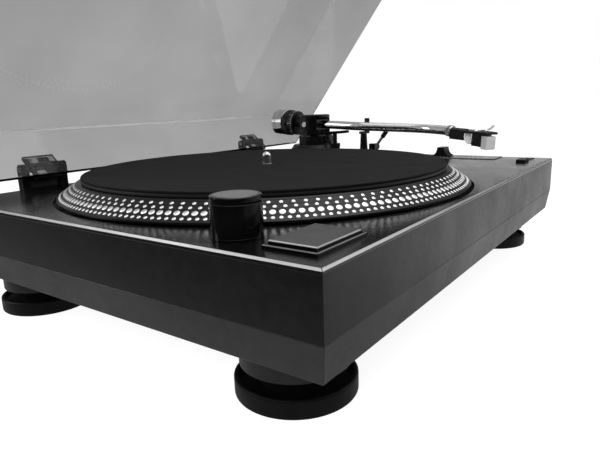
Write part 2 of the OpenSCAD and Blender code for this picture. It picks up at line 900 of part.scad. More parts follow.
module foot_front_left() {
    foot(left + foot_inset_x, front + foot_inset_y);
}

module foot_front_right() {
    foot(right - foot_inset_x, front + foot_inset_y);
}

module foot_rear_left() {
    foot(left + foot_inset_x, rear - foot_inset_y);
}

module foot_rear_right() {
    foot(right - foot_inset_x, rear - foot_inset_y);
}

// Platter
module platter() {
    rim_z = z_deck + rim_low;
    edge_z = rim_z - rim_land;
    under_z = z_platter - platter_t;
    color("#5c5e60")
    rotate_extrude() polygon([
        [hub_pin_r + run_gap, z_platter], [hub_pin_r + run_gap, z_hub], [hub_r, z_hub], [hub_r, under_z],
        [ring_r - ring_t, under_z], [ring_r - ring_t, z_deck - ring_low], [ring_r, z_deck - ring_low],
        [ring_r, under_z], [platter_top_r - platter_t, under_z], [platter_r - rim_land - platter_t, edge_z],
        [platter_r, edge_z], [platter_r, rim_z], [platter_top_r, z_platter]]);
}

module spindle() {
    color("#c9ccce") {
        translate([0, 0, z_shaft]) cylinder(r = shaft_r, h = z_hub - z_shaft);
        translate([0, 0, z_hub - collar_t]) cylinder(r = collar_r, h = collar_t);
        translate([0, 0, z_hub]) cylinder(r = hub_pin_r, h = hub_t);
        translate([0, 0, z_platter]) cylinder(r = pin_seat_r, h = -z_platter);
        cylinder(r = pin_r, h = pin_h);
        translate([0, 0, pin_h]) intersection() {
            sphere(r = pin_r);
            cylinder(r = pin_r, h = pin_r);
        }
    }
}

// Flat ring
module disc(r, hole_r, h) {
    difference() {
        cylinder(r = r, h = h);
        translate([0, 0, -over]) cylinder(r = hole_r, h = h + 2 * over);
    }
}

module rubber_mat() {
    color("#1b1b1c")
    translate([0, 0, z_platter]) disc(mat_r - move_gap, pin_seat_r + fit_gap, mat_t);
}

module slipmat() {
    color("#202021")
    translate([0, 0, -slipmat_t]) disc(mat_r, pin_seat_r + fit_gap, slipmat_t);
}

module bearing_housing() {
    color("#54575a")
    difference() {
        union() {
            translate([0, 0, z_well]) cylinder(r = flange_r, h = flange_t);
            translate([0, 0, z_shaft - housing_t]) cylinder(r = housing_r, h = z_well - z_shaft + housing_t);
        }
        translate([0, 0, z_shaft - run_gap]) cylinder(r = housing_in_r, h = big);
    }
}

module bearing_bush() {
    color("#b08d57")
    translate([0, 0, z_well + flange_t - bush_l]) disc(bush_r, shaft_r + run_gap, bush_l);
}

// Motor
module at_motor_screws() {
    for (side = [-1, 1]) {
        translate([-motor_left, motor_back, 0])
            rotate([0, 0, motor_dir]) translate([0, side * motor_screw_pcd_r, 0]) children();
    }
}

module motor() {
    color("#8a8d90")
    difference() {
        translate([-motor_left, motor_back, 0]) {
            translate([0, 0, z_well_under - motor_h]) cylinder(r = motor_r, h = motor_h);
            translate([0, 0, z_well_under]) cylinder(r = motor_neck_r, h = wall);
        }
        translate([-motor_left, motor_back, z_well_under - motor_h / 2])
            cylinder(r = motor_shaft_r + run_gap, h = big);
        at_motor_screws() translate([0, 0, z_well_under - wall]) cylinder(r = screw_r + run_gap, h = big);
    }
}

module motor_screws() {
    color("#6f7376")
    at_motor_screws() {
        translate([0, 0, z_well]) cylinder(r = screw_head_r, h = screw_head_t);
        translate([0, 0, z_well_under - wall]) cylinder(r = screw_r, h = 2 * wall + eps);
    }
}

module motor_pulley() {
    face = belt_w + 2 * move_gap;
    z_face = z_deck - belt_low - face / 2;
    color("#c2a46a")
    translate([-motor_left, motor_back, 0]) {
        translate([0, 0, z_face - pulley_lip_t]) cylinder(r = pulley_r + pulley_lip, h = pulley_lip_t);
        translate([0, 0, z_face]) cylinder(r = pulley_r, h = face);
        translate([0, 0, z_face + face]) cylinder(r = pulley_r + pulley_lip, h = pulley_lip_t);
        translate([0, 0, z_well_under - motor_h / 2 + move_gap])
            cylinder(r = motor_shaft_r, h = z_face - z_well_under + motor_h / 2 - move_gap);
    }
}

// Closed belt line around the ring and the pulley, grown by extra
function belt_line(extra) = concat(
    [for (i = [0:belt_steps]) let(a = belt_lean + i / belt_steps * (360 - 2 * belt_lean))
        (belt_a_r + extra) * [cos(a), sin(a)]],
    [for (i = [0:belt_steps]) let(a = -belt_lean + i / belt_steps * 2 * belt_lean)
        [motor_dist, 0] + (belt_b_r + extra) * [cos(a), sin(a)]]);

module drive_belt() {
    color("#141414")
    translate([0, 0, z_deck - belt_low - belt_w / 2])
        rotate([0, 0, motor_dir]) linear_extrude(height = belt_w) difference() {
            polygon(belt_line(belt_t));
            polygon(belt_line(0));
        }
}

// Electronics
module at_board_posts() {
    for (x = [-1, 1]) {
        for (y = [-1, 1]) {
            translate([board_x + x * (board_w / 2 - boss_r), y * (board_d / 2 - boss_r) - board_front, 0])
                children();
        }
    }
}

module circuit_board() {
    color("#1f5b39")
    translate([board_x, -board_front, z_floor_in + board_post_h]) plain_block(board_w, board_d, board_t);
}

module transformer() {
    color("#4a4a48")
    translate([-transformer_left, rear - transformer_from_rear, z_floor_in])
        plain_block(transformer_w, transformer_d, transformer_h);
}

// Strobe column and power knob
module hood_block(w, reach, low, high) {
    translate([column_x, column_y, z_deck + low]) rotate([0, 0, column_to_spindle])
        translate([0, -w / 2, 0]) cube([column_r + reach, w, high - low]);
}

module strobe_column() {
    color("#151617")
    difference() {
        union() {
            translate([column_x, column_y, z_deck]) cylinder(r = column_r, h = column_h);
            hood_block(hood_w, hood_reach, hood_low, hood_high);
        }
        window_seat(fit_gap);
        translate([column_x, column_y, z_deck + column_h - knob_pin_l - over])
            cylinder(r = knob_pin_r + run_gap, h = big);
    }
}

// Space of the strobe window in the hood's face, grown by gap
module window_seat(gap) {
    translate([column_x, column_y, z_deck + hood_low + window_rim - gap]) rotate([0, 0, column_to_spindle])
        translate([column_r + hood_reach - window_t - gap, window_rim - hood_w / 2 - gap, 0])
            cube([window_t + gap, hood_w - 2 * window_rim + 2 * gap,
                hood_high - hood_low - 2 * window_rim + 2 * gap]);
}

module strobe_window() {
    color("#b03024")
    window_seat(0);
}

module power_knob() {
    color("#1a1b1c")
    translate([column_x, column_y, z_deck + column_h]) {
        translate([0, 0, move_gap]) cylinder(r = column_r, h = knob_h);
        translate([0, 0, move_gap + knob_h - eps]) cylinder(r = knob_inlay_r, h = knob_inlay_h + eps);
        translate([0, 0, -knob_pin_l]) cylinder(r = knob_pin_r, h = knob_pin_l + move_gap + eps);
    }
}

// Start pad
module start_bezel() {
    color("#1c1d1e")
    difference() {
        translate([start_x, start_y, z_deck]) profile_block(start_frame_w, start_frame_d,
            [[0, 0], [0, start_frame_h - key_chamfer], [key_chamfer, start_frame_h]]);
        translate([start_x, start_y, z_deck - over])
            plain_block(start_w + 2 * move_gap, start_d + 2 * move_gap, start_frame_h + 2 * over);
    }
}

// Key with chamfered top edges
module key_block(w, d, low, high) {
    translate([0, 0, z_deck - low])
        profile_block(w, d, [[0, 0], [0, low + high - key_chamfer], [key_chamfer, low + high]]);
}

module start_button() {
    color("#232425")
    translate([start_x, start_y, 0]) key_block(start_w, start_d, start_low, start_h);
}

// Speed buttons, the left one released and the right one pressed
module speed_button_left() {
    color("#161616")
    translate([speed_x - speed_pitch / 2, speed_y, 0]) key_block(speed_w, speed_d, speed_low, speed_h);
}

module speed_button_right() {
    color("#161616")
    translate([speed_x + speed_pitch / 2, speed_y, -speed_travel])
        key_block(speed_w, speed_d, speed_low, speed_h);
}

// Pitch fader
module pitch_bezel() {
    color("#1e1f20")
    difference() {
        translate([fader_x, fader_y, z_deck]) plain_block(fader_plate_w, fader_plate_l, fader_plate_h);
        translate([fader_x, fader_y, z_deck - over])
            plain_block(fader_slot_w, fader_slot_l, fader_plate_h + 2 * over);
    }
}

module pitch_box() {
    color("#3b3c3e")
    translate([fader_x, fader_y, z_panel - wall - fader_box_h])
        plain_block(fader_box_w, fader_slot_l + 2 * wall, fader_box_h);
}

module pitch_knob() {
    sweep = (fader_knob_l - fader_knob_top) / 2;
    rise = fader_knob_h - fader_knob_foot;
    half = fader_knob_l / 2;
    flare = [for (i = [0:flare_steps]) let(a = i * 90 / flare_steps)
        [half - sweep * sin(a), fader_knob_foot + rise * (1 - cos(a))]];
    outline = concat([[-half, 0], [half, 0]], flare,
        [for (i = [flare_steps:-1:0]) [-flare[i][0], flare[i][1]]]);
    color("#121213")
    translate([fader_x, fader_y, z_deck + fader_plate_h + move_gap]) {
        rotate([90, 0, 90]) linear_extrude(height = fader_knob_w, center = true) polygon(outline);
        translate([0, 0, move_gap - fader_plate_h - plate_t - wall])
            plain_block(fader_slot_w - 2 * move_gap, fader_stem_l,
                plate_t + wall + fader_plate_h - move_gap + eps);
    }
}

// Tonearm base
module arm_base() {
    color("#1f2021")
    difference() {
        union() {
            translate([arm_x, arm_y, z_deck]) rotate_extrude()
                polygon([[0, 0], [base_r, 0], [base_r, base_edge_h], [base_top_r, base_h],
                    [pillar_r, base_h], [pillar_r, pillar_h], [0, pillar_h]]);
            translate([arm_x - foot_plate_left, arm_y - foot_plate_l, z_deck])
                cube([foot_plate_left + foot_plate_right, foot_plate_l, foot_plate_h]);
            translate([arm_x - skate_bracket_half, arm_y - skate_back, z_deck])
                cube([2 * skate_bracket_half, skate_back, pillar_h]);
            translate([arm_x + lever_x - lever_hub_l / 2 - move_gap - bracket_t,
                arm_y - lever_front - lever_hub_r, z_deck])
                cube([bracket_t, 2 * lever_hub_r, lever_z + lever_hub_r]);
        }
        translate([arm_x, arm_y, z_deck - over]) cylinder(r = swing_r + run_gap, h = big);
        translate([arm_x, arm_y - skate_back - over, z_deck + skate_h]) rotate([-90, 0, 0])
            cylinder(r = skate_pin_r + run_gap, h = skate_pin_l + over + move_gap);
        translate([0, arm_y - lever_front, z_deck + lever_z]) rotate([0, 90, 0])
            cylinder(r = lever_pin_r + run_gap, h = big);
        at_lift() translate([0, 0, z_deck - over]) cylinder(r = lift_rod_r + move_gap, h = big);
    }
}

// Turned with the arm, at the pivot, in the plan of the arm at rest
module in_swing() {
    translate([arm_x, arm_y, 0]) rotate([0, 0, -arm_turn]) children();
}

// Turned and tilted with the arm, at the lifting axis
module in_arm() {
    translate([arm_x, arm_y, z_arm]) rotate([0, 0, -arm_turn]) rotate([arm_tilt, 0, 0]) children();
}

// In the head, with its own axis along -Y and the end of the last bend at zero
module in_head() {
    in_arm() translate([w_last, -s_last, 0]) rotate([0, 0, -bend_in]) children();
}

module gimbal_yoke() {
    z_low = z_deck + pillar_h + yoke_gap;
    z_in = z_low + yoke_floor_t;
    color("#1a1b1c")
    in_swing() difference() {
        union() {
            translate([0, 0, z_low]) cylinder(r = yoke_r, h = z_deck + yoke_top - z_low);
            translate([0, 0, z_low - swing_l]) cylinder(r = swing_r, h = swing_l + eps);
        }
        translate([-yoke_half, -big / 2, z_in])
            cube([2 * yoke_half, big, z_deck + yoke_top - yoke_roof_t - z_in]);
        translate([-big / 2, 0, z_arm]) rotate([0, 90, 0]) cylinder(r = pivot_r + run_gap, h = big);
    }
}

module pivot_screws() {
    color("#d0d2d4")
    in_swing() translate([0, 0, z_arm]) for (side = [-90, 90]) rotate([0, side, 0]) {
        translate([0, 0, block_half - pivot_in]) cylinder(r = pivot_r, h = yoke_r - block_half + pivot_in);
        translate([0, 0, yoke_r]) cylinder(r = pivot_head_r, h = pivot_head_t);
    }
}

module arm_block() {
    color("#2c2d2f")
    in_arm() difference() {
        union() {
            cube([2 * block_half, 2 * block_len, 2 * block_high], center = true);
            rotate([-90, 0, 0]) cylinder(r = stub_r, h = stub_l);
        }
        rotate([90, 0, 0]) translate([0, 0, block_len - 2 * wall]) cylinder(r = tube_r + fit_gap, h = big);
        for (side = [-90, 90]) rotate([0, side, 0])
            translate([0, 0, block_half - pivot_in - move_gap]) cylinder(r = pivot_r + run_gap, h = big);
    }
}

// Cross section of the arm's tube, its wall grown by extra on both faces
module tube_ring(extra) {
    difference() {
        circle(r = tube_r + extra);
        circle(r = tube_r - tube_t - extra);
    }
}

// Straight length of tube along -Y that reaches into the bends before and after it
module tube_run(length, before, after) {
    translate([0, before, 0]) rotate([90, 0, 0])
        linear_extrude(height = length + before + after) tube_ring(0);
}

// Bend of the tube about the origin
module tube_bend(angle) {
    rotate_extrude(angle = angle) translate([bend_r, 0]) tube_ring(bend_extra);
}

// Tube along the arm's plan: straight, bend, straight, bend, straight
module arm_tube() {
    first_y = 2 * wall - block_len;
    color("#d5d7d9")
    in_arm() {
        translate([0, first_y, 0]) tube_run(s_bend + first_y, 0, bend_lap);
        translate([bend_r, -s_bend, 0]) rotate([0, 0, 180]) tube_bend(bend_out);
        translate([w_middle, -s_middle, 0]) rotate([0, 0, bend_out])
            tube_run(tube_middle, bend_lap, bend_lap);
        translate([w_last - bend_r * cos(bend_in), -s_last + bend_r * sin(bend_in), 0])
            rotate([0, 0, -bend_in]) tube_bend(bend_in + bend_out);
        translate([w_last, -s_last, 0]) rotate([0, 0, -bend_in]) tube_run(tube_last, bend_lap, 0);
    }
}

// Counterweight
module counterweight() {
    color("#8d9093")
    in_arm() rotate([-90, 0, 0]) translate([0, 0, dial_from_pivot + dial_l + move_gap])
        disc(weight_r, stub_r + run_gap, weight_l);
}

module force_dial() {
    color("#1b1c1d")
    in_arm() rotate([-90, 0, 0]) translate([0, 0, dial_from_pivot]) disc(dial_r, stub_r + run_gap, dial_l);
}

// Head
module collet_nut() {
    color("#c9cccf")
    in_head() translate([0, -tube_last - collet_l + collet_on, 0]) rotate([-90, 0, 0]) difference() {
        cylinder(r = collet_r, h = collet_l);
        translate([0, 0, -over]) cylinder(r = plug_r + run_gap, h = collet_l + 2 * over);
        translate([0, 0, collet_l - collet_on - move_gap]) cylinder(r = tube_r + run_gap, h = collet_l);
    }
}

module headshell() {
    half = shell_w / 2;
    nose = shell_nose_w / 2;
    color("#18191a")
    in_head() difference() {
        union() {
            translate([0, -tube_last - move_gap, 0]) rotate([90, 0, 0])
                cylinder(r = plug_r, h = shell_start + shell_neck_l - tube_last - move_gap);
            translate([-shell_neck_w / 2, -shell_start - shell_neck_l, shell_top - shell_neck_h])
                cube([shell_neck_w, shell_neck_l, shell_neck_h]);
            translate([0, 0, shell_z]) linear_extrude(height = shell_t) polygon([
                [-shell_neck_w / 2, -shell_start], [shell_neck_w / 2, -shell_start],
                [half, -shell_start - shell_neck_l],
                [half, shell_nose_l - shell_tip], [nose, -shell_tip], [-nose, -shell_tip],
                [-half, shell_nose_l - shell_tip], [-half, -shell_start - shell_neck_l]]);
        }
        at_cart_screws() translate([0, 0, shell_z - over]) cylinder(r = cart_screw_r + run_gap, h = big);
    }
}

module at_cart_screws() {
    for (side = [-1, 1]) translate([side * cart_screw_gap / 2, cart_screw_y, 0]) children();
}

module finger_lift() {
    x_start = shell_w / 2;
    color("#222324")
    in_head() translate([0, lift_y, shell_top]) {
        translate([shell_w / 4, 0, 0]) cube([x_start / 2 + lift_reach + lift_lap, lift_w, lift_t]);
        translate([x_start + lift_reach, 0, lift_curl_r]) rotate([-90, 0, 0])
            rotate([0, 0, 90 - lift_curl]) rotate_extrude(angle = lift_curl)
                translate([lift_curl_r - lift_t - bend_extra, -bend_extra])
                    square([lift_t + 2 * bend_extra, lift_w + 2 * bend_extra]);
    }
}

module cartridge() {
    color("#2a2b2d")
    in_head() difference() {
        union() {
            translate([-cart_w / 2, -cart_front, cart_z]) cube([cart_w, cart_l, cart_h]);
            translate([-stylus_w / 2, -cart_front - stylus_reach, cart_z - stylus_h])
                cube([stylus_w, stylus_l, stylus_h + eps]);
            translate([-stylus_w / 2, -cart_front - stylus_reach, cart_z - eps])
                cube([stylus_w, stylus_reach + eps, stylus_h]);
        }
        at_cart_screws() translate([0, 0, cart_z + cart_h / 2]) cylinder(r = cart_screw_r + run_gap, h = big);
    }
}

module cartridge_screws() {
    color("#b9bcbf")
    in_head() at_cart_screws() {
        translate([0, 0, shell_top]) cylinder(r = cart_head_r, h = cart_head_t);
        translate([0, 0, cart_z + cart_h / 2])
            cylinder(r = cart_screw_r, h = shell_top - cart_z - cart_h / 2 + eps);
    }
}

// Four short leads that hang in loops between the neck block and the back of the cartridge
module head_leads() {
    y_neck = -shell_start - shell_neck_l;
    y_back = cart_l - cart_front;
    bend = (y_neck - y_back) / 2 - lead_r - fit_gap;
    color("#e9e9e6")
    in_head() for (i = [0:lead_count - 1]) {
        translate([(i - (lead_count - 1) / 2) * lead_gap, (y_neck + y_back) / 2, shell_z - lead_low]) {
            rotate([-90, 0, 90]) rotate_extrude(angle = 180)
                translate([bend, 0]) circle(r = lead_r + bend_extra, $fn = lead_fn);
            for (y = [-bend, bend]) translate([0, y, -lead_lap])
                cylinder(r = lead_r, h = lead_low + lead_lap, $fn = lead_fn);
        }
    }
}

module stylus_guard() {
    z_low = cart_z - stylus_h - guard_room - guard_t;
    height = cart_z + guard_high - z_low;
    inner = guard_w - 2 * guard_t;
    color("#dfe1e2")
    in_head() difference() {
        translate([-guard_w / 2, -guard_front, z_low])
            cube([guard_w, guard_l - move_gap, height]);
        translate([-inner / 2, guard_t - guard_front, z_low + guard_t])
            cube([inner, guard_l, height - 2 * guard_t]);
    }
}

// Arm rest
module arm_rest() {
    reach = tube_r + 2 * move_gap;
    color("#17181a")
    in_swing() translate([rest_w, -rest_s, 0]) {
        translate([0, 0, z_deck + foot_plate_h])
            cylinder(r1 = rest_foot_r, r2 = rest_top_r,
                h = rest_z - rest_saddle_t - z_deck - foot_plate_h + eps);
        translate([-reach, -rest_saddle_l / 2, rest_z - rest_saddle_t])
            cube([2 * reach + rest_finger_t, rest_saddle_l, rest_saddle_t - move_gap]);
        translate([reach + 2 * move_gap, -rest_saddle_l / 2, rest_z - rest_saddle_t])
            cube([rest_finger_t - 2 * move_gap, rest_saddle_l, z_deck + rest_tip - rest_z + rest_saddle_t]);
    }
}

// Cue lift
module at_lift() {
    translate([arm_x, arm_y, 0]) rotate([0, 0, -bow_mid]) translate([0, -lift_bow_r, 0]) children();
}

module lift_housing() {
    color("#2a2b2c")
    at_lift() translate([0, 0, z_deck + foot_plate_h])
        disc(lift_case_r, lift_rod_r + run_gap, lift_case_h - foot_plate_h);
}

module lift_bar() {
    color("#3a3b3d") {
        translate([arm_x, arm_y, bow_z - bow_t]) rotate([0, 0, -90 - bow_sweep])
            rotate_extrude(angle = bow_sweep) translate([lift_bow_r - bow_w / 2, 0]) square([bow_w, bow_t]);
        at_lift() translate([0, 0, z_rod])
            cylinder(r = lift_rod_r, h = bow_z - bow_t - z_rod + eps);
    }
}

module cue_lever() {
    color("#202122")
    translate([arm_x + lever_x, arm_y - lever_front, z_deck + lever_z]) {
        rotate([0, 90, 0]) cylinder(r = lever_hub_r, h = lever_hub_l, center = true);
        translate([-lever_hub_l / 2 - bracket_t, 0, 0]) rotate([0, 90, 0])
            cylinder(r = lever_pin_r, h = bracket_t + eps);
        rotate([90 - lever_angle, 0, 0]) {
            cylinder(r = lever_r, h = lever_l - grip_l + eps);
            translate([0, 0, lever_l - grip_l]) cylinder(r = grip_r, h = grip_l - grip_r);
            translate([0, 0, lever_l - grip_r]) sphere(r = grip_r);
        }
    }
}

module antiskate_dial() {
    color("#1c1d1e")
    translate([arm_x, arm_y - skate_back - move_gap, z_deck + skate_h]) rotate([90, 0, 0]) {
        cylinder(r = skate_r, h = skate_l);
        translate([0, skate_mark_up, skate_l - eps]) cylinder(r = skate_mark_r, h = move_gap + eps);
        translate([0, 0, -skate_pin_l]) cylinder(r = skate_pin_r, h = skate_pin_l + eps);
    }
}

// Dust cover, drawn closed and swung open about the hinge axis
module in_cover() {
    translate([0, hinge_y, hinge_z]) rotate([-cover_open, 0, 0])
        translate([0, -hinge_y, -hinge_z]) children();
}

module at_hinges() {
    for (side = [-1, 1]) translate([deck_x + side * hinge_x, 0, 0]) children();
}

// Lays its children along the hinge axis
module on_hinge_axis() {
    translate([0, hinge_y, hinge_z]) rotate([0, 90, 0]) children();
}

module dust_cover() {
    color([0.45, 0.46, 0.47, 0.45])
    in_cover() difference() {
        translate([deck_x, deck_y, z_rim]) plain_block(deck_w, deck_d, cover_h);
        translate([deck_x, deck_y, z_rim - over])
            plain_block(deck_w - 2 * cover_t, deck_d - 2 * cover_t, cover_h - cover_t + over);
    }
}

module lid_bumpers() {
    color("#2a2a2a")
    in_cover() for (x = [left + cover_t / 2, right - cover_t / 2]) {
        for (y = [front + 2 * bumper_l, rear - 2 * bumper_l]) {
            translate([x, y, z_rim - bumper_t]) plain_block(bumper_w, bumper_l, bumper_t);
        }
    }
}

// Leaves on the outside of the cover's rear wall, each with its knuckle
module hinge_leaves() {
    color("#1a1b1c")
    in_cover() at_hinges() difference() {
        union() {
            on_hinge_axis() cylinder(r = knuckle_r, h = 2 * leaf_half, center = true);
            translate([-leaf_half, rear + leaf_gap, z_rim])
                cube([2 * leaf_half, leaf_t, hinge_z + leaf_l - z_rim]);
        }
        on_hinge_axis() cylinder(r = hinge_pin_r + run_gap, h = big, center = true);
    }
}

// Bases behind the deck, each with two ears and a recess for the closed leaf
module hinge_bases() {
    gap_half = leaf_half + move_gap;
    base_d = hinge_back + ear_r;
    color("#161718")
    at_hinges() difference() {
        union() {
            translate([-hinge_half, rear, z_deck - hinge_base_low])
                cube([2 * hinge_half, base_d, hinge_base_low]);
            translate([-hinge_half, rear + move_gap, z_deck - eps])
                cube([2 * hinge_half, base_d - move_gap, hinge_base_top + eps]);
            for (x = [-hinge_half, gap_half]) {
                translate([x, 0, 0]) on_hinge_axis() cylinder(r = ear_r, h = hinge_half - gap_half);
                translate([x, rear + move_gap, z_deck])
                    cube([hinge_half - gap_half, base_d - move_gap, hinge_up]);
            }
        }
        translate([-gap_half, rear - over, z_rim - 2 * move_gap])
            cube([2 * gap_half, over + leaf_gap + leaf_t + move_gap, big]);
        on_hinge_axis() cylinder(r = hinge_pin_r + run_gap, h = big, center = true);
    }
}

module hinge_pins() {
    color("#b4b7ba")
    at_hinges() on_hinge_axis() cylinder(r = hinge_pin_r, h = 2 * hinge_half, center = true);
}

// Rear sockets
module phono_jacks() {
    color("#c7a95b")
    for (x = [jack_x, jack_x - jack_gap]) {
        translate([deck_x + x, rear, socket_z]) rotate([-90, 0, 0]) difference() {
            union() {
                cylinder(r = jack_r, h = jack_l);
                cylinder(r = jack_flange_r, h = jack_flange_t);
                translate([0, 0, -2 * wall]) cylinder(r = jack_body_r, h = 2 * wall + eps);
            }
            translate([0, 0, jack_flange_t]) cylinder(r = jack_bore_r, h = big);
        }
    }
}

module ground_terminal() {
    color("#b9bcbf")
    translate([deck_x + ground_x, rear, socket_z]) rotate([-90, 0, 0]) {
        translate([0, 0, -2 * wall]) cylinder(r = ground_r, h = ground_l + 2 * wall);
        cylinder(r = ground_nut_r, h = ground_nut_l);
    }
}

module mains_inlet() {
    color("#151515")
    translate([deck_x - inlet_left, rear, socket_z]) {
        difference() {
            union() {
                translate([-inlet_w / 2, -inlet_d, -inlet_h / 2]) cube([inlet_w, inlet_d + eps, inlet_h]);
                translate([-inlet_w / 2 - inlet_frame, 0, -inlet_h / 2 - inlet_frame])
                    cube([inlet_w + 2 * inlet_frame, inlet_frame, inlet_h + 2 * inlet_frame]);
            }
            for (side = [-1, 1]) {
                translate([side * inlet_bore_gap / 2, inlet_frame + over, 0]) rotate([90, 0, 0])
                    cylinder(r = inlet_bore_r, h = inlet_d - wall);
            }
            translate([-inlet_bore_gap / 2, inlet_frame + over - inlet_d + wall, -inlet_bore_r])
                cube([inlet_bore_gap, inlet_d - wall, 2 * inlet_bore_r]);
        }
        for (side = [-1, 1]) translate([side * inlet_bore_gap / 2, 0, 0]) rotate([90, 0, 0])
            cylinder(r = inlet_pin_r, h = inlet_d - eps);
    }
}

deck_plate();
top_casing();
bottom_casing();
case_screws();
foot_necks();
foot_front_left();
foot_front_right();
foot_rear_left();
foot_rear_right();
platter();
spindle();
rubber_mat();
slipmat();
bearing_housing();
bearing_bush();
motor();
motor_screws();
motor_pulley();
drive_belt();
circuit_board();
transformer();
strobe_column();
strobe_window();
power_knob();
start_bezel();
start_button();
speed_button_left();
speed_button_right();
pitch_bezel();
pitch_box();
pitch_knob();
arm_base();
gimbal_yoke();
pivot_screws();
arm_block();
arm_tube();
counterweight();
force_dial();
collet_nut();
headshell();
finger_lift();
cartridge();
cartridge_screws();
head_leads();
stylus_guard();
arm_rest();
lift_housing();
lift_bar();
cue_lever();
antiskate_dial();
dust_cover();
lid_bumpers();
hinge_leaves();
hinge_bases();
hinge_pins();
phono_jacks();
ground_terminal();
mains_inlet();
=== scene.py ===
# %% [markdown]
# # A turntable with its lid open
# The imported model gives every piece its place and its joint. This lesson dresses it: each cell makes one
# piece or one finish of the player, in metres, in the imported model's own frame.

# %% Load the frame
import math
import bmesh
import bpy
from mathutils import Matrix, Vector, noise


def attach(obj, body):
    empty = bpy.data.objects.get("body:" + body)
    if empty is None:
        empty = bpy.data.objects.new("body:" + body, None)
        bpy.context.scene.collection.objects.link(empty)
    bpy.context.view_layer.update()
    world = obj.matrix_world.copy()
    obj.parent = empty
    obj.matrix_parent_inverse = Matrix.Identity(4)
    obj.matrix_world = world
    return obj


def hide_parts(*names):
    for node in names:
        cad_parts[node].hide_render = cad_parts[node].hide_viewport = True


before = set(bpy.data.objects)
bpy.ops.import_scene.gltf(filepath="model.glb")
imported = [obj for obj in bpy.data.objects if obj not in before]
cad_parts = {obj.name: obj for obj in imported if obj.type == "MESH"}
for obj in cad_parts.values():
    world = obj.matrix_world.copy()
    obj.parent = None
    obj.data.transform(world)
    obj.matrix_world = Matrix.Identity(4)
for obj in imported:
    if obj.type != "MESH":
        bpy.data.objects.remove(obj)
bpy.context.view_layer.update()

scene = bpy.context.scene
scene.view_settings.view_transform = "Standard"
MM = 0.001
DECK_Z, PLATTER_Z, GROUND_Z = -16.7, -4.2, -104.4
LEFT, RIGHT, FRONT, REAR = -180.5, 269.5, -174.0, 176.0

# %% [markdown]
# ## Camera
# The picture was taken low and close to the front left corner with a short lens, so the corner looms and
# the deck runs away quickly. The camera is set from its place, yaw, pitch and roll. Its axes are built by
# hand because the roll is small and a tracking constraint would level it.

# %% Camera
def camera_axes(yaw, pitch, roll):
    ahead = Vector((math.sin(yaw) * math.cos(pitch), math.cos(yaw) * math.cos(pitch), -math.sin(pitch)))
    side = ahead.cross(Vector((0, 0, 1))).normalized()
    down = ahead.cross(side)
    right = math.cos(roll) * side + math.sin(roll) * down
    low = math.cos(roll) * down - math.sin(roll) * side
    return right, -low, -ahead


IMAGE_WIDTH, FOCAL_PIXELS, SENSOR_WIDTH = 600, 528.24, 36
YAW, PITCH, ROLL = 54.01, 12.83, 1.9
eye = Vector((-348.78, -285.85, 47.66)) * MM
axes = camera_axes(math.radians(YAW), math.radians(PITCH), math.radians(ROLL))
lens = bpy.data.cameras.new("studio_camera")
lens.sensor_width = SENSOR_WIDTH
lens.lens = FOCAL_PIXELS / IMAGE_WIDTH * SENSOR_WIDTH
lens.clip_start = 0.01
camera = bpy.data.objects.new("studio_camera", lens)
camera.matrix_world = Matrix.Translation(eye) @ Matrix(axes).transposed().to_4x4()
scene.collection.objects.link(camera)
scene.camera = camera
print("camera lens", round(lens.lens, 2), "mm")

# %% [markdown]
# ## Studio
# The object stands in a white sweep. Lamps alone can't make a wall both white and shadowed without
# burning the object, so the world shows white to the camera and through glass, and lights the object at a
# plain level. Shiny faces meet a graded surround, bright above and on one side and dark elsewhere, which
# gives black its depth. The floor adds its own glow for the eye and keeps a soft shadow.

# %% World
BRIGHT_SIDE = math.radians(76)


def add_node(tree, kind, feeds=None, **settings):
    """Adds a node with its settings. A feed is a socket to link or a value to set."""
    made = tree.nodes.new(kind)
    for label, value in settings.items():
        setattr(made, label, value)
    for label, value in (feeds or {}).items():
        if isinstance(value, bpy.types.NodeSocket):
            tree.links.new(value, made.inputs[label])
        elif value is not None:
            made.inputs[label].default_value = value
    return made


def math_node(tree, operation, a, b=None, c=None, clamp=False):
    feeds = dict(enumerate((a, b, c)))
    return add_node(tree, "ShaderNodeMath", feeds, operation=operation, use_clamp=clamp).outputs[0]


def vector_node(tree, operation, a, b=None, scale=None):
    feeds = {0: a, 1: b, "Scale": scale}
    return add_node(tree, "ShaderNodeVectorMath", feeds, operation=operation).outputs


def ramp_node(tree, factor, stops):
    made = add_node(tree, "ShaderNodeValToRGB", {"Fac": factor})
    points = made.color_ramp.elements
    while len(points) < len(stops):
        points.new(0.5)
    for point, (place, tone) in zip(points, stops):
        point.position = place
        point.color = (tone, tone, tone, 1)
    return made.outputs["Color"]


def rgba(tone):
    return (*tone, 1.0) if isinstance(tone, (tuple, list)) else (tone, tone, tone, 1.0)


def by_ray(tree, plain, mirror, shown):
    """One shader for plain light, one for shiny faces, and one for the eye and for glass."""
    path = add_node(tree, "ShaderNodeLightPath").outputs
    seen = math_node(tree, "MAXIMUM", path["Is Camera Ray"], path["Is Transmission Ray"])
    first = add_node(tree, "ShaderNodeMixShader",
                     {0: path["Is Glossy Ray"], 1: plain.outputs[0], 2: mirror.outputs[0]})
    return add_node(tree, "ShaderNodeMixShader", {0: seen, 1: first.outputs[0], 2: shown.outputs[0]}).outputs[0]


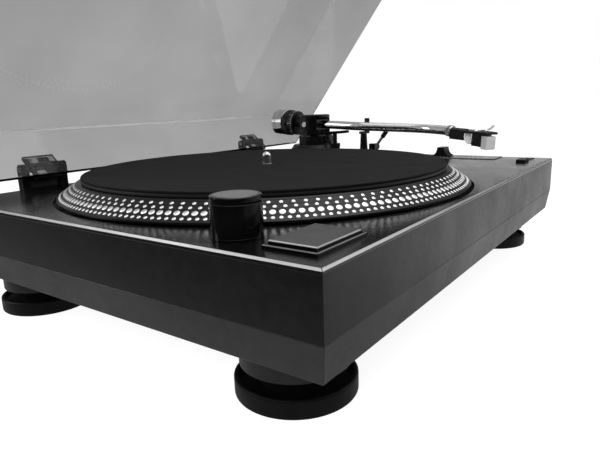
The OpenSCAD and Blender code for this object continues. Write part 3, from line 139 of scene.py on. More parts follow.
def studio_world():
    world = bpy.data.worlds.new("studio_world")
    scene.world = world
    world.use_nodes = True
    tree = world.node_tree
    tree.nodes.clear()
    around = add_node(tree, "ShaderNodeTexCoord").outputs["Generated"]
    bright_side = (math.sin(BRIGHT_SIDE), math.cos(BRIGHT_SIDE), 0.0)
    turned = vector_node(tree, "DOT_PRODUCT", around, bright_side)["Value"]
    half = math_node(tree, "MULTIPLY_ADD", turned, 0.5, 0.5)
    sides = ramp_node(tree, half, [(0.0, 0.03), (0.5, 0.05), (0.78, 0.22), (0.94, 0.22), (0.97, 0.4),
                                   (0.985, 0.75), (0.996, 1.0)])
    height = add_node(tree, "ShaderNodeSeparateXYZ", {0: around}).outputs["Z"]
    low = ramp_node(tree, height, [(0.122, 1.0), (0.137, 0.36), (0.19, 0.08), (0.32, 0.05)])
    above = ramp_node(tree, height, [(0.35, 0.0), (0.8, 1.0)])
    shiny = add_node(tree, "ShaderNodeMix", {0: 1.0, 6: math_node(tree, "MULTIPLY", sides, low), 7: above},
                     data_type="RGBA", blend_type="LIGHTEN").outputs[2]
    plain = add_node(tree, "ShaderNodeBackground", {"Color": rgba(1.0), "Strength": 0.5})
    mirror = add_node(tree, "ShaderNodeBackground", {"Color": shiny})
    white = add_node(tree, "ShaderNodeBackground", {"Color": rgba(1.0)})
    add_node(tree, "ShaderNodeOutputWorld", {"Surface": by_ray(tree, plain, mirror, white)})


studio_world()
print("world:", scene.world.name)

# %% Lamps
def soft_lamp(name, place, target, size, power):
    light = bpy.data.lights.new(name, "AREA")
    light.shape = "RECTANGLE"
    light.size, light.size_y = size
    light.energy = power
    lamp = bpy.data.objects.new(name, light)
    lamp.location = place
    aim = Vector(target) - Vector(place)
    lamp.rotation_euler = aim.to_track_quat("-Z", "Y").to_euler()
    scene.collection.objects.link(lamp)
    return lamp


soft_lamp("overhead", (0.05, -0.1, 1.15), (0.03, 0.0, -0.03), (1.2, 1.0), 6.0)
soft_lamp("front_right", (0.9, -0.9, 0.55), (0.05, 0.0, -0.03), (0.9, 0.6), 3.0)
soft_lamp("back_left", (-0.684, 0.853, 0.44), (0.192, 0.144, 0.03), (0.3, 0.8), 3.4)
fill = soft_lamp("fill", (-0.9, -0.35, 0.3), (0.15, -0.1, 0.0), (0.6, 0.5), 6.0)
fill.visible_glossy = False

# %% Floor
FLOOR_R, FLOOR_SIDES = 6, 64


def studio_floor():
    mesh = bpy.data.meshes.new("studio_floor")
    turns = [2 * math.pi * i / FLOOR_SIDES for i in range(FLOOR_SIDES)]
    rim = [(FLOOR_R * math.cos(a), FLOOR_R * math.sin(a), GROUND_Z * MM) for a in turns]
    mesh.from_pydata(rim, [], [list(range(FLOOR_SIDES))])
    paint = bpy.data.materials.new("sweep_white")
    paint.use_nodes = True
    tree = paint.node_tree
    tree.nodes.clear()
    place = add_node(tree, "ShaderNodeTexCoord").outputs["Object"]
    east = add_node(tree, "ShaderNodeSeparateXYZ", {0: place}).outputs["X"]
    across = math_node(tree, "MULTIPLY_ADD", east, 0.8, 0.6)
    tone = ramp_node(tree, across, [(0.2, 0.03), (0.33, 0.07), (0.37, 0.3), (0.4, 0.5), (0.574, 0.5),
                                    (0.728, 0.85), (0.92, 0.95)])
    mirror = add_node(tree, "ShaderNodeEmission", {"Color": tone})
    dull = add_node(tree, "ShaderNodeBsdfDiffuse", {"Color": rgba(0.7)})
    wash = add_node(tree, "ShaderNodeBsdfDiffuse", {"Color": rgba(0.3)})
    glow = add_node(tree, "ShaderNodeEmission", {"Strength": 0.88})
    both = add_node(tree, "ShaderNodeAddShader", {0: wash.outputs[0], 1: glow.outputs[0]})
    add_node(tree, "ShaderNodeOutputMaterial", {"Surface": by_ray(tree, dull, mirror, both)})
    mesh.materials.append(paint)
    floor = bpy.data.objects.new("studio_floor", mesh)
    scene.collection.objects.link(floor)
    print("floor at", GROUND_Z, "mm")


studio_floor()

# %% [markdown]
# ## Shared surface effects
# Paint, moulded plastic, rubber and metal differ in the same few ways: a fine grain, broad marks of
# handling, rings from a lathe and lines from a brush. Each effect is a shader group with named inputs, so
# every finish uses it at its own scale.

# %% Shader groups
def new_group(name, kind, inputs, outputs):
    """A node group with named sockets, what its input gives and what its output takes."""
    group = bpy.data.node_groups.new(name, kind)
    for label, sort, value in inputs:
        made = group.interface.new_socket(name=label, in_out="INPUT", socket_type="NodeSocket" + sort)
        if value is not None:
            made.default_value = value
    for label, sort in outputs:
        group.interface.new_socket(name=label, in_out="OUTPUT", socket_type="NodeSocket" + sort)
    return group, group.nodes.new("NodeGroupInput").outputs, group.nodes.new("NodeGroupOutput").inputs


def effect(name, size, *outputs):
    return new_group(name, "ShaderNodeTree", [("Vector", "Vector", None), size],
                     [(label, "Float") for label in outputs])


def noise_node(tree, vector, scale, detail, rough=0.55, **more):
    feeds = {"Vector": vector, "Scale": scale, "Detail": detail, "Roughness": rough, **more}
    return add_node(tree, "ShaderNodeTexNoise", feeds).outputs["Fac"]


def surface_grain():
    group, given, out = effect("surface_grain", ("Scale", "Float", 900.0), "Height", "Mask")
    fine = noise_node(group, given["Vector"], given["Scale"], 3.0)
    broad = noise_node(group, given["Vector"], math_node(group, "MULTIPLY", given["Scale"], 0.13), 4.0)
    group.links.new(fine, out["Height"])
    group.links.new(math_node(group, "MULTIPLY_ADD", broad, 2.2, -0.6, clamp=True), out["Mask"])
    return group


def handling_marks():
    group, given, out = effect("handling_marks", ("Scale", "Float", 25.0), "Mask")
    cloud = noise_node(group, given["Vector"], given["Scale"], 5.0, 0.6)
    wipe = noise_node(group, given["Vector"], math_node(group, "MULTIPLY", given["Scale"], 9.0), 2.0)
    both = math_node(group, "MULTIPLY_ADD", wipe, 0.35, cloud)
    group.links.new(math_node(group, "MULTIPLY_ADD", both, 2.6, -1.2, clamp=True), out["Mask"])
    return group


def turned_rings():
    group, given, out = effect("turned_rings", ("Pitch", "Float", 0.0006), "Height", "Mask")
    flat = vector_node(group, "MULTIPLY", given["Vector"], (1, 1, 0))[0]
    far = vector_node(group, "LENGTH", flat)["Value"]
    turns = math_node(group, "DIVIDE", far, given["Pitch"])
    wave = math_node(group, "SINE", math_node(group, "MULTIPLY", turns, 2 * math.pi))
    uneven = add_node(group, "ShaderNodeTexNoise", {"W": turns, "Scale": 0.9, "Detail": 2.0},
                      noise_dimensions="1D").outputs["Fac"]
    level = math_node(group, "MULTIPLY_ADD", wave, 0.5, 0.5)
    group.links.new(math_node(group, "MULTIPLY", level, uneven), out["Height"])
    group.links.new(uneven, out["Mask"])
    return group


def brushed_lines():
    group, given, out = effect("brushed_lines", ("Stretch", "Vector", (30, 1500, 1500)), "Height", "Mask")
    long = vector_node(group, "MULTIPLY", given["Vector"], given["Stretch"])[0]
    lines = noise_node(group, long, 1.0, 3.0)
    for label in ("Height", "Mask"):
        group.links.new(lines, out[label])
    return group


GRAIN, MARKS, RINGS, BRUSH = surface_grain(), handling_marks(), turned_rings(), brushed_lines()
print("shader groups:", [g.name for g in (GRAIN, MARKS, RINGS, BRUSH)])

# %% [markdown]
# ## Finishes
# One function builds a finish: a pattern group shades the colour between two tones and raises the bump,
# and the handling marks move the roughness. Values that are the same all over a surface, such as the
# index of refraction or the coat, are set on the shader itself.

# %% Finish builder
def group_node(tree, group, vector, **values):
    return add_node(tree, "ShaderNodeGroup", {"Vector": vector, **values}, node_tree=group).outputs


def finish(name, tones, rough, pattern=GRAIN, depth=0.00002, marks=25.0, centre=None, turn=(0, 0, 0),
           shader=None, **values):
    paint = bpy.data.materials.new(name)
    paint.use_nodes = True
    tree = paint.node_tree
    body = tree.nodes["Principled BSDF"].inputs
    vector = add_node(tree, "ShaderNodeTexCoord").outputs["Object"]
    if centre is not None:
        feeds = {"Vector": vector, "Location": [c * MM for c in centre],
                 "Rotation": [math.radians(a) for a in turn]}
        vector = add_node(tree, "ShaderNodeMapping", feeds, vector_type="TEXTURE").outputs["Vector"]
    grain = group_node(tree, pattern, vector, **values)
    worn = group_node(tree, MARKS, vector, Scale=marks)
    blend = add_node(tree, "ShaderNodeMix", {0: grain["Mask"], 6: rgba(tones[0]), 7: rgba(tones[1])},
                     data_type="RGBA")
    span = add_node(tree, "ShaderNodeMapRange", {"Value": worn["Mask"], "To Min": rough[0], "To Max": rough[1]})
    raised = add_node(tree, "ShaderNodeBump", {"Strength": 1.0, "Distance": depth, "Height": grain["Height"]})
    for out, label in ((blend.outputs[2], "Base Color"), (span.outputs["Result"], "Roughness"),
                       (raised.outputs["Normal"], "Normal")):
        tree.links.new(out, body[label])
    for label, value in (shader or {}).items():
        body[label].default_value = value
    return paint


METAL = {"Metallic": 1.0}
SOFT = {"Specular IOR Level": 0.3}
satin_black = finish("satin_black", (0.003, 0.005), (0.15, 0.22), shader={"Specular IOR Level": 0.44},
                     Scale=1400.0, depth=0.000006)
bright_edge = finish("bright_edge", (0.4, 0.46), (0.28, 0.33), shader={"Metallic": 0.6}, Scale=500.0,
                     depth=0.0000002)
moulded_black = finish("moulded_black", (0.002, 0.005), (0.3, 0.42), shader=SOFT, Scale=1100.0, depth=0.00002)
# The lower casing's black is lighter than the upper casing's: painted light for the glow it takes from the
# white floor.
lower_black = finish("lower_black", (0.007, 0.012), (0.36, 0.48), Scale=900.0, depth=0.00003)
neck_black = finish("neck_black", (0.006, 0.01), (0.36, 0.48), shader=SOFT, Scale=1000.0, depth=0.00003)
foot_rubber = finish("foot_rubber", (0.001, 0.0025), (0.42, 0.56), shader={"Specular IOR Level": 0.14},
                     Scale=1300.0, depth=0.00004)
gloss_black = finish("gloss_black", (0.0012, 0.0025), (0.08, 0.15), shader={"Specular IOR Level": 0.16},
                     Scale=300.0, depth=0.000003)
rim_metal = finish("rim_metal", (0.018, 0.032), (0.3, 0.4), RINGS, depth=0.00001, centre=(0, 0, 0),
                   shader={"Metallic": 0.85}, Pitch=0.0005)
dot_metal = finish("dot_metal", (0.82, 0.95), (0.3, 0.4), shader=METAL, Scale=700.0, depth=0.000003)
chrome = finish("chrome", (0.82, 0.9), (0.05, 0.1), shader=METAL, Scale=400.0, depth=0.000001)
brushed_alloy = finish("brushed_alloy", (0.5, 0.66), (0.24, 0.36), BRUSH, depth=0.000006, shader=METAL,
                       Stretch=(60.0, 1800.0, 1800.0))
print("finishes so far:", len(bpy.data.materials))

# %% [markdown]
# ## Mesh helpers
# Most of the player's round pieces were turned on a lathe or moulded round, so a profile spun about an
# axis makes them smooth at any size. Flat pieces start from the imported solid: a copy is merged from loose
# triangles, its flat faces are joined and its edges are broken, as a moulder or a file would do.

# %% Places and profiles
def at(x=0.0, y=0.0, z=0.0, *turns):
    place = Matrix.Translation(Vector((x, y, z)) * MM)
    for axis, angle in turns:
        place = place @ Matrix.Rotation(math.radians(angle), 4, axis)
    return place


CORNER_STEPS = 3


def softened(points, radius):
    """Rounds the inner corners of a profile."""
    done = [points[0]]
    for before, here, after in zip(points, points[1:], points[2:]):
        b, h, a = Vector(before), Vector(here), Vector(after)
        into, away = h - b, a - h
        if into.length < 1e-9 or away.length < 1e-9 or into.angle(away, 0) < math.radians(14):
            done.append(here)
            continue
        cut = min(radius, into.length * 0.45, away.length * 0.45)
        p, q = h - into.normalized() * cut, h + away.normalized() * cut
        for i in range(CORNER_STEPS + 1):
            t = i / CORNER_STEPS
            done.append(tuple((1 - t) ** 2 * p + 2 * t * (1 - t) * h + t * t * q))
    done.append(points[-1])
    return done


def arc(cx, cz, radius, start, end, steps):
    angles = [math.radians(start + (end - start) * i / steps) for i in range(steps + 1)]
    return [(cx + radius * math.cos(a), cz + radius * math.sin(a)) for a in angles]


# %% Solids from code
def revolve(bm, profile, place=None, segments=96, mats=0, ring=False):
    """Spins a profile of (radius, height) in mm about the local Z axis."""
    place = place or Matrix()
    turns = [2 * math.pi * s / segments for s in range(segments)]
    rows = []
    for r, z in profile:
        spots = [(0.0, 0.0)] if r < 1e-6 else [(r * math.cos(a), r * math.sin(a)) for a in turns]
        rows.append([bm.verts.new(place @ (Vector((x, y, z)) * MM)) for x, y in spots])
    pairs = list(zip(rows, rows[1:])) + ([(rows[-1], rows[0])] if ring else [])
    made = []
    for k, (low, high) in enumerate(pairs):
        for s in range(segments):
            t = (s + 1) % segments
            corner = [low[s % len(low)], high[s % len(high)], high[t % len(high)], low[t % len(low)]]
            corner = list(dict.fromkeys(corner))
            if len(corner) > 2:
                face = bm.faces.new(corner)
                face.material_index = mats[k] if isinstance(mats, list) else mats
                made.append(face)
    bmesh.ops.recalc_face_normals(bm, faces=made)
    return made


def broken_edges(bm, edges, width, steps=2):
    if edges and width:
        bmesh.ops.bevel(bm, geom=edges, offset=width * MM, segments=steps, profile=0.5, affect="EDGES",
                        clamp_overlap=True)


def prism(bm, outline, low, high, place=None, edge=0.0, mat=0, steps=2):
    """Extrudes a closed outline of (x, y) in mm from low to high along the local Z axis."""
    place = place or Matrix()
    known = set(bm.faces)
    foot = [bm.verts.new(place @ (Vector((x, y, low)) * MM)) for x, y in outline]
    head = [bm.verts.new(place @ (Vector((x, y, high)) * MM)) for x, y in outline]
    count = len(outline)
    made = [bm.faces.new(foot[::-1]), bm.faces.new(head)]
    made += [bm.faces.new((foot[i], foot[(i + 1) % count], head[(i + 1) % count], head[i]))
             for i in range(count)]
    bmesh.ops.recalc_face_normals(bm, faces=made)
    edges = dict.fromkeys(e for f in made for e in f.edges)
    broken_edges(bm, [e for e in edges if e.calc_face_angle(0) > math.radians(32)], edge, steps)
    fresh = [f for f in bm.faces if f not in known]
    for face in fresh:
        face.material_index = mat
    return fresh


def block(bm, low, high, place=None, edge=0.4, mat=0, steps=2):
    outline = [(low[0], low[1]), (high[0], low[1]), (high[0], high[1]), (low[0], high[1])]
    return prism(bm, outline, low[2], high[2], place, edge, mat, steps)


def tube(bm, path, radius, sides, place):
    """Sweeps a round section along a line of points in mm."""
    line = [Vector(p) for p in path]
    ahead = [(line[min(i + 1, len(line) - 1)] - line[max(i - 1, 0)]).normalized() for i in range(len(line))]
    side = ahead[0].orthogonal().normalized()
    rings = []
    for spot, way in zip(line, ahead):
        side = (side - way * side.dot(way)).normalized()
        up = way.cross(side)
        rings.append([bm.verts.new(place @ ((spot + radius * (math.cos(a) * side + math.sin(a) * up)) * MM))
                      for a in [2 * math.pi * s / sides for s in range(sides)]])
    made = [bm.faces.new(rings[0][::-1]), bm.faces.new(rings[-1])]
    for low, high in zip(rings, rings[1:]):
        made += [bm.faces.new((low[s], low[(s + 1) % sides], high[(s + 1) % sides], high[s]))
                 for s in range(sides)]
    bmesh.ops.recalc_face_normals(bm, faces=made)


# %% Solids from the frame
def from_frame(node):
    """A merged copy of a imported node, with its flat faces joined."""
    bm = bmesh.new()
    bm.from_mesh(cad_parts[node].data)
    bmesh.ops.remove_doubles(bm, verts=bm.verts, dist=2e-6)
    bmesh.ops.dissolve_limit(bm, angle_limit=math.radians(0.3), verts=bm.verts, edges=bm.edges)
    for face in bm.faces:
        face.material_index = 0
    return bm


def sharp_edges(bm, where=None, steep=35):
    return [e for e in bm.edges if len(e.link_faces) == 2 and e.is_convex
            and e.calc_face_angle(0) > math.radians(steep) and (where is None or where(e))]


def piece(name, bm, finishes, body, slot, *stands_for, smooth=38):
    """Makes the object, rides it on its body and hides the imported parts it stands for."""
    mesh = bpy.data.meshes.new(name)
    bm.to_mesh(mesh)
    bm.free()
    for paint in finishes:
        mesh.materials.append(paint)
    mesh.polygons.foreach_set("use_smooth", [True] * len(mesh.polygons))
    mesh.set_sharp_from_angle(angle=math.radians(smooth))
    made = bpy.data.objects.new(name, mesh)
    scene.collection.objects.link(made)
    even = made.modifiers.new("even_shading", "WEIGHTED_NORMAL")
    even.keep_sharp = True
    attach(made, body)
    if stands_for:
        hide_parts(*stands_for)
    print(name, len(mesh.polygons), "faces on", body)
    return made


def slopes(face):
    return 0.3 < face.normal.z < 0.95


def broken_copy(name, node, paint, body, slot, width, where=None, steep=35):
    """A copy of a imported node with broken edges, in one finish."""
    bm = from_frame(node)
    broken_edges(bm, sharp_edges(bm, where, steep), width)
    return piece(name, bm, [paint], body, slot, node)


def dress(node, paint):
    """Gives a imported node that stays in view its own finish."""
    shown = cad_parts[node]
    if not shown.material_slots:
        shown.data.materials.append(paint)
    for place in shown.material_slots:
        place.material = paint


# %% [markdown]
# ## Growing what repeats
# The rim carries nearly seven hundred dots, and the nuts and dials carry ridges and marks. Modelling one
# and copying it by hand would be slow to change, so small Geometry Nodes trees place them on a ring or in
# a row from a count and a size. The result is turned into plain mesh, because instances don't travel.

# %% Ring trees
def new_tree(name, *sockets):
    return new_group(name, "GeometryNodeTree", [("Geometry", "Geometry", None), ("Finish", "Material", None),
                                                *sockets], [("Geometry", "Geometry")])


def ring_tree(name, *sizes):
    return new_tree(name, ("Count", "Int", 100), ("Ring Radius", "Float", 0.1),
                    *[(label, "Float", value) for label, value in sizes])


def tree_end(tree, given, out, points, shape, turn, size):
    feeds = {"Points": points, "Instance": shape, "Rotation": turn, "Scale": size}
    placed = add_node(tree, "GeometryNodeInstanceOnPoints", feeds).outputs[0]
    real = add_node(tree, "GeometryNodeRealizeInstances", {0: placed}).outputs[0]
    coat = add_node(tree, "GeometryNodeSetMaterial", {"Geometry": real, "Material": given["Finish"]})
    tree.links.new(coat.outputs[0], out[0])
    return tree


def along_axes(tree, x, y, z):
    return add_node(tree, "ShaderNodeCombineXYZ", {"X": x, "Y": y, "Z": z}).outputs[0]


def outward(tree, lean):
    """Directions that lean out from the ring's axis."""
    spot = add_node(tree, "GeometryNodeInputPosition").outputs[0]
    unit = vector_node(tree, "NORMALIZE", spot)[0]
    flat = vector_node(tree, "SCALE", unit, scale=math_node(tree, "SINE", lean))[0]
    return vector_node(tree, "ADD", flat, along_axes(tree, None, None, math_node(tree, "COSINE", lean)))[0]


def ring_points(tree, given):
    feeds = {"Vertices": given["Count"], "Radius": given["Ring Radius"]}
    return add_node(tree, "GeometryNodeMeshCircle", feeds).outputs[0]


def aimed(tree, vector, axis):
    return add_node(tree, "FunctionNodeAlignRotationToVector", {"Vector": vector}, axis=axis).outputs[0]


def dots_on_ring():
    tree, given, out = ring_tree("dots_on_ring", ("Dot Radius", 0.001), ("Dot Height", 0.0004), ("Lean", 0.0))
    ball = add_node(tree, "GeometryNodeMeshUVSphere", {"Segments": 12, "Rings": 6, "Radius": 1.0}).outputs[0]
    smooth = add_node(tree, "GeometryNodeSetShadeSmooth", {0: ball}).outputs[0]
    size = along_axes(tree, given["Dot Radius"], given["Dot Radius"], given["Dot Height"])
    turn = aimed(tree, outward(tree, given["Lean"]), "Z")
    return tree_end(tree, given, out, ring_points(tree, given), smooth, turn, size)


def bars_on_ring(name, kind, **shape):
    """Bars round a ring, along its axis: a four-sided cylinder stands on edge, and a cube lies flat."""
    tree, given, out = ring_tree(name, ("Depth", 0.001), ("Width", 0.001), ("Length", 0.01))
    size = along_axes(tree, given["Depth"], given["Width"], given["Length"])
    bar = add_node(tree, kind, shape).outputs[0]
    spot = add_node(tree, "GeometryNodeInputPosition").outputs[0]
    return tree_end(tree, given, out, ring_points(tree, given), bar, aimed(tree, spot, "X"), size)


# %% Row tree
def marks_in_row():
    tree, given, out = new_tree(
        "marks_in_row", ("Count", "Int", 11), ("Step", "Vector", (0, 0.004, 0)),
        ("Size", "Vector", (0.003, 0.0004, 0.0001)), ("Long Every", "Int", 5), ("Long By", "Float", 1.6))
    row = add_node(tree, "GeometryNodeMeshLine", {"Count": given["Count"], "Offset": given["Step"]}).outputs[0]
    bar = add_node(tree, "GeometryNodeMeshCube", {"Size": given["Size"]}).outputs[0]
    number = add_node(tree, "GeometryNodeInputIndex").outputs[0]
    left = math_node(tree, "MODULO", number, given["Long Every"])
    main = math_node(tree, "LESS_THAN", left, 0.5)
    extra = math_node(tree, "SUBTRACT", given["Long By"], 1.0)
    size = along_axes(tree, math_node(tree, "MULTIPLY_ADD", main, extra, 1.0), 1.0, 1.0)
    return tree_end(tree, given, out, row, bar, None, size)


DOTS, MARKS_ROW = dots_on_ring(), marks_in_row()
RIDGES = bars_on_ring("ridges_on_ring", "GeometryNodeMeshCylinder", Vertices=4, Radius=1.0, Depth=1.0)
RING_MARKS = bars_on_ring("marks_on_ring", "GeometryNodeMeshCube")
print("trees:", [t.name for t in (DOTS, MARKS_ROW, RIDGES, RING_MARKS)])

# %% Growing into a mesh
def take_in(bm, host, place, mat):
    """Adds what the host looks like to bm as plain faces, and drops the host."""
    view = bpy.context.evaluated_depsgraph_get()
    mesh = bpy.data.meshes.new_from_object(host.evaluated_get(view))
    host.modifiers.clear()
    mesh.transform(place)
    known = set(bm.faces)
    bm.from_mesh(mesh)
    fresh = [f for f in bm.faces if f not in known]
    for face in fresh:
        face.material_index = mat
    bpy.data.objects.remove(host)
    bpy.data.meshes.remove(mesh)
    return len(fresh)


def grow(bm, tree, place, mat=0, **values):
    """Evaluates a tree and adds its plain mesh to bm."""
    host = bpy.data.objects.new("grown", bpy.data.meshes.new("grown"))
    scene.collection.objects.link(host)
    modifier = host.modifiers.new("grown", "NODES")
    modifier.node_group = tree
    for item in tree.interface.items_tree:
        label = item.name.replace(" ", "_").lower()
        if item.item_type == "SOCKET" and item.in_out == "INPUT" and label in values:
            modifier[item.identifier] = values[label]
    return take_in(bm, host, place, mat)


def grow_bars(bm, tree, place, count, sizes, paint, mat=0):
    """Grows bars on a ring. Sizes are the ring's radius and a bar's depth, width and length in mm."""
    named = zip(("ring_radius", "depth", "width", "length"), sizes)
    return grow(bm, tree, place, mat, count=count, finish=paint, **{label: size * MM for label, size in named})


# %% [markdown]
# ## Deck and casing
# The deck is a painted metal plate with a chamfer that was cut after painting, so its edge shines. Under
# it sit a moulded upper casing and a slightly tapered lower one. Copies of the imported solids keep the
# exact openings, and only the outer edges are broken.

# %% Deck plate
bm = from_frame("deck_plate")
bm.normal_update()
for face in bm.faces:
    if slopes(face):
        face.material_index = 1
broken_edges(bm, sharp_edges(bm, steep=30), 0.22)
piece("deck_top", bm, [satin_black, bright_edge], "deck", "deck_black", "deck_plate")

# %% Casings
WALL_SLACK = 3.2


def on_outside(edge):
    spots = [v.co / MM for v in edge.verts]
    near = [min(abs(p.x - LEFT), abs(p.x - RIGHT), abs(p.y - FRONT), abs(p.y - REAR)) for p in spots]
    return max(near) < WALL_SLACK


broken_copy("upper_casing", "top_casing", moulded_black, "deck", "case_black", 0.5, on_outside)
# The lower casing's lighter black is painted light from the floor.
broken_copy("lower_casing", "bottom_casing", lower_black, "deck", "case_black", 0.7, on_outside, 25)

# %% [markdown]
# ## Feet
# Four moulded necks carry rubber pads on levelling studs. Both are round, so a spun profile gives their
# edges, and a tread is turned into the sole of each pad.

# %% Foot necks
FEET = {"foot_front_left": (-136.0, -125.5), "foot_front_right": (225.0, -125.5),
        "foot_rear_left": (-136.0, 127.5), "foot_rear_right": (225.0, 127.5)}
NECK_Z, STUD_Z = GROUND_Z + 17, GROUND_Z + 14.45
neck = [(0, 13), (4.04, 13), (4.04, 0), (29.2, 0), (29.8, 0.6), (30.6, 0.6), (31, 1.2), (31, 16.5), (13, 16.5),
        (13, 19.5), (0, 19.5)]
bm = bmesh.new()
for x, y in FEET.values():
    revolve(bm, softened(neck, 0.4), at(x, y, NECK_Z))
piece("neck_mouldings", bm, [neck_black], "deck", "neck_black", "foot_necks")

# %% Foot pads
sole = [(0, 0.8)]
for r in range(6, 28, 3):
    sole += [(r, 0.8), (r + 0.3, 0), (r + 1.7, 0), (r + 2, 0.8)]
wall = arc(32.7, 1.5, 1.5, -80, -10, 6) + [(34.2, 1.8), (34.2, 9.2)] + arc(32.7, 9.5, 1.5, 10, 80, 6)
stud = [(32.2, 11), (31.8, 10.7), (31.7, 10.3), (31.7, 8), (22, 8), (22, 13.9), (21.5, 14.4), (4, 14.4),
        (4, 26.7), (3.6, 27), (0, 27)]
pad = sole + [(29.4, 0.4), (32.4, 0)] + wall + stud
for name, (x, y) in FEET.items():
    bm = bmesh.new()
    faces = revolve(bm, pad, at(x, y, GROUND_Z), 112)
    for face in faces:
        if face.calc_center_median().z / MM > STUD_Z:
            face.material_index = 1
    piece(name.replace("foot", "pad"), bm, [foot_rubber, brushed_alloy], name, "foot_rubber", name)

# %% [markdown]
# ## Platter
# The cast platter's rim is cut with four rows of dots that appear to stand still at the right speed. The
# rows lie in shallow channels with ridges between them. The profile is spun with enough segments to look
# round, and the dots are grown on four rings, leaning with the rim.

# %% Platter casting
TOP_R, RIM_R, TOP_Z, RIM_Z = 150.5, 166.0, PLATTER_Z, DECK_Z + 2.1
CHANNEL, DOT_HEIGHT = 0.12, 0.34
slant = Vector((RIM_R - TOP_R, RIM_Z - TOP_Z))
along = slant.normalized()
off = Vector((-along.y, along.x))
# count, ring radius and dot radius of each row
rows = [(133, 153.1, 1.25), (160, 156.1, 1.25), (180, 159.7, 2.0), (216, 163.5, 1.25)]


def on_rim(distance, height):
    spot = Vector((TOP_R, TOP_Z)) + along * distance + off * height
    return (spot.x, spot.y)


def middle(ring_r):
    return (ring_r - TOP_R) / along.x


rim = [on_rim(0, 0)]
for count, ring_r, dot_r in rows:
    mid, wide = middle(ring_r), dot_r + 0.2
    rim += [on_rim(mid - wide - 0.1, 0), on_rim(mid - wide, -CHANNEL), on_rim(mid + wide, -CHANNEL),
            on_rim(mid + wide + 0.1, 0)]
rim.append(on_rim(slant.length, 0))
casting = rim + [(RIM_R, -15.8), (161.8, -15.8), (147.5, -7.2), (82, -7.2), (82, -26.2), (79, -26.2),
                 (79, -7.2), (20, -7.2), (20, -12.2), (5.04, -12.2), (5.04, TOP_Z), (148.9, TOP_Z)]
bm = bmesh.new()
revolve(bm, casting, segments=288, ring=True)
piece("platter_casting", bm, [rim_metal], "platter", "platter_cast", "platter", smooth=25)

# %% Platter dots
bm = bmesh.new()
lean = math.atan2(off.x, off.y)
for count, ring_r, dot_r in rows:
    r, z = on_rim(middle(ring_r), -CHANNEL)
    made = grow(bm, DOTS, at(0, 0, z), count=count, ring_radius=r * MM, dot_radius=dot_r * MM,
                dot_height=DOT_HEIGHT * MM, lean=lean, finish=dot_metal)
    print("row of", count, "dots,", made, "faces")
piece("platter_dots", bm, [dot_metal], "platter", "platter_cast", smooth=60)

# %% Spindle
PIN_R, PIN_Z = 3.6, 6.4
pin = [(0, -56.7), (5.0, -56.7), (5.6, -56.1), (5.6, -15.2), (16, -15.2), (16, -12.2), (5, -12.2),
       (5, PLATTER_Z), (4.2, PLATTER_Z), (4.2, -0.3), (4.0, 0), (PIN_R, 0), (PIN_R, PIN_Z)]
pin += arc(0, PIN_Z, PIN_R, 5, 85, 12) + [(0, 10.0)]
bm = bmesh.new()
revolve(bm, pin, segments=64)
for face in bm.faces:
    if -0.2 < face.calc_center_median().z / MM < 6.2:
        face.material_index = 1
piece("centre_pin", bm, [chrome, brushed_alloy], "platter", "chrome", "spindle")

# %% [markdown]
# ## Mats
# A ribbed rubber mat lies on the casting, and a felt slipmat lies on that. Felt is a sheet of pressed
# fibres: it has no weave, so the finish uses tangled noise at three scales and a soft sheen, and the
# sheet itself waves by a tenth of a millimetre.

# %% Rubber mat
mat_rubber = finish("mat_rubber", (0.003, 0.006), (0.5, 0.62), RINGS, depth=0.0002, centre=(0, 0, 0),
                    Pitch=0.003)
bm = bmesh.new()
rubber = [(4.3, PLATTER_Z), (147.0, PLATTER_Z), (147.7, -3.6), (147.7, -2.2), (147.0, -1.6), (4.3, -1.6)]
revolve(bm, softened(rubber, 0.2), segments=224, ring=True)
piece("ribbed_mat", bm, [mat_rubber], "platter", "mat_rubber", "rubber_mat")

# %% Felt finish
def felt_finish():
    paint = finish("felt", (0.0025, 0.006), (0.85, 0.98), Scale=2600.0, depth=0.00012, marks=40.0,
                   shader={"Sheen Weight": 0.02, "Sheen Roughness": 0.45, "Specular IOR Level": 0.1})
    tree = paint.node_tree
    colour = tree.nodes["Principled BSDF"].inputs["Base Color"]
    vector = add_node(tree, "ShaderNodeTexCoord").outputs["Object"]
    tangle = noise_node(tree, vector, 420.0, 6.0, 0.7, Distortion=1.5)
    light = ramp_node(tree, tangle, [(0.35, 0.55), (0.7, 1.5)])
    tint = add_node(tree, "ShaderNodeMix", {0: 1.0, 6: colour.links[0].from_socket, 7: light},
                    data_type="RGBA", blend_type="MULTIPLY")
    tree.links.new(tint.outputs[2], colour)
    return paint


felt = felt_finish()
print("felt with", len(felt.node_tree.nodes), "nodes")

# %% Slipmat
WAVE, WAVE_SCALE = 0.11 * MM, 28
FELT_TOP, FELT_UNDER = -0.12, -1.59
radii = [4.3, 5.0] + [5 + 3 * i for i in range(1, 48)] + [147.4]
sheet = [(4.3, -1.5)] + [(r, FELT_TOP) for r in radii] + [(147.8, -0.5), (148.0, -0.9), (147.8, -1.4)]
sheet += [(r, FELT_UNDER) for r in (147.3, 100, 50, 5)]
bm = bmesh.new()
revolve(bm, sheet, segments=224, ring=True)
for vert in bm.verts:
    if vert.co.z > -0.0003:
        spot = Vector((vert.co.x, vert.co.y, 0)) * WAVE_SCALE
        vert.co.z += WAVE * max(-1, min(1, noise.noise(spot) + 0.4 * noise.noise(spot * 4.1)))
mat = piece("slipmat_felt", bm, [felt], "slipmat", "felt", "slipmat", smooth=60)

# %% [markdown]
# ## Strobe column and power knob
# At the front left a glossy column holds the power knob and a small hood that lights the dots. The column
# and the knob are turned, and the hood is a block with a recess for its red window.

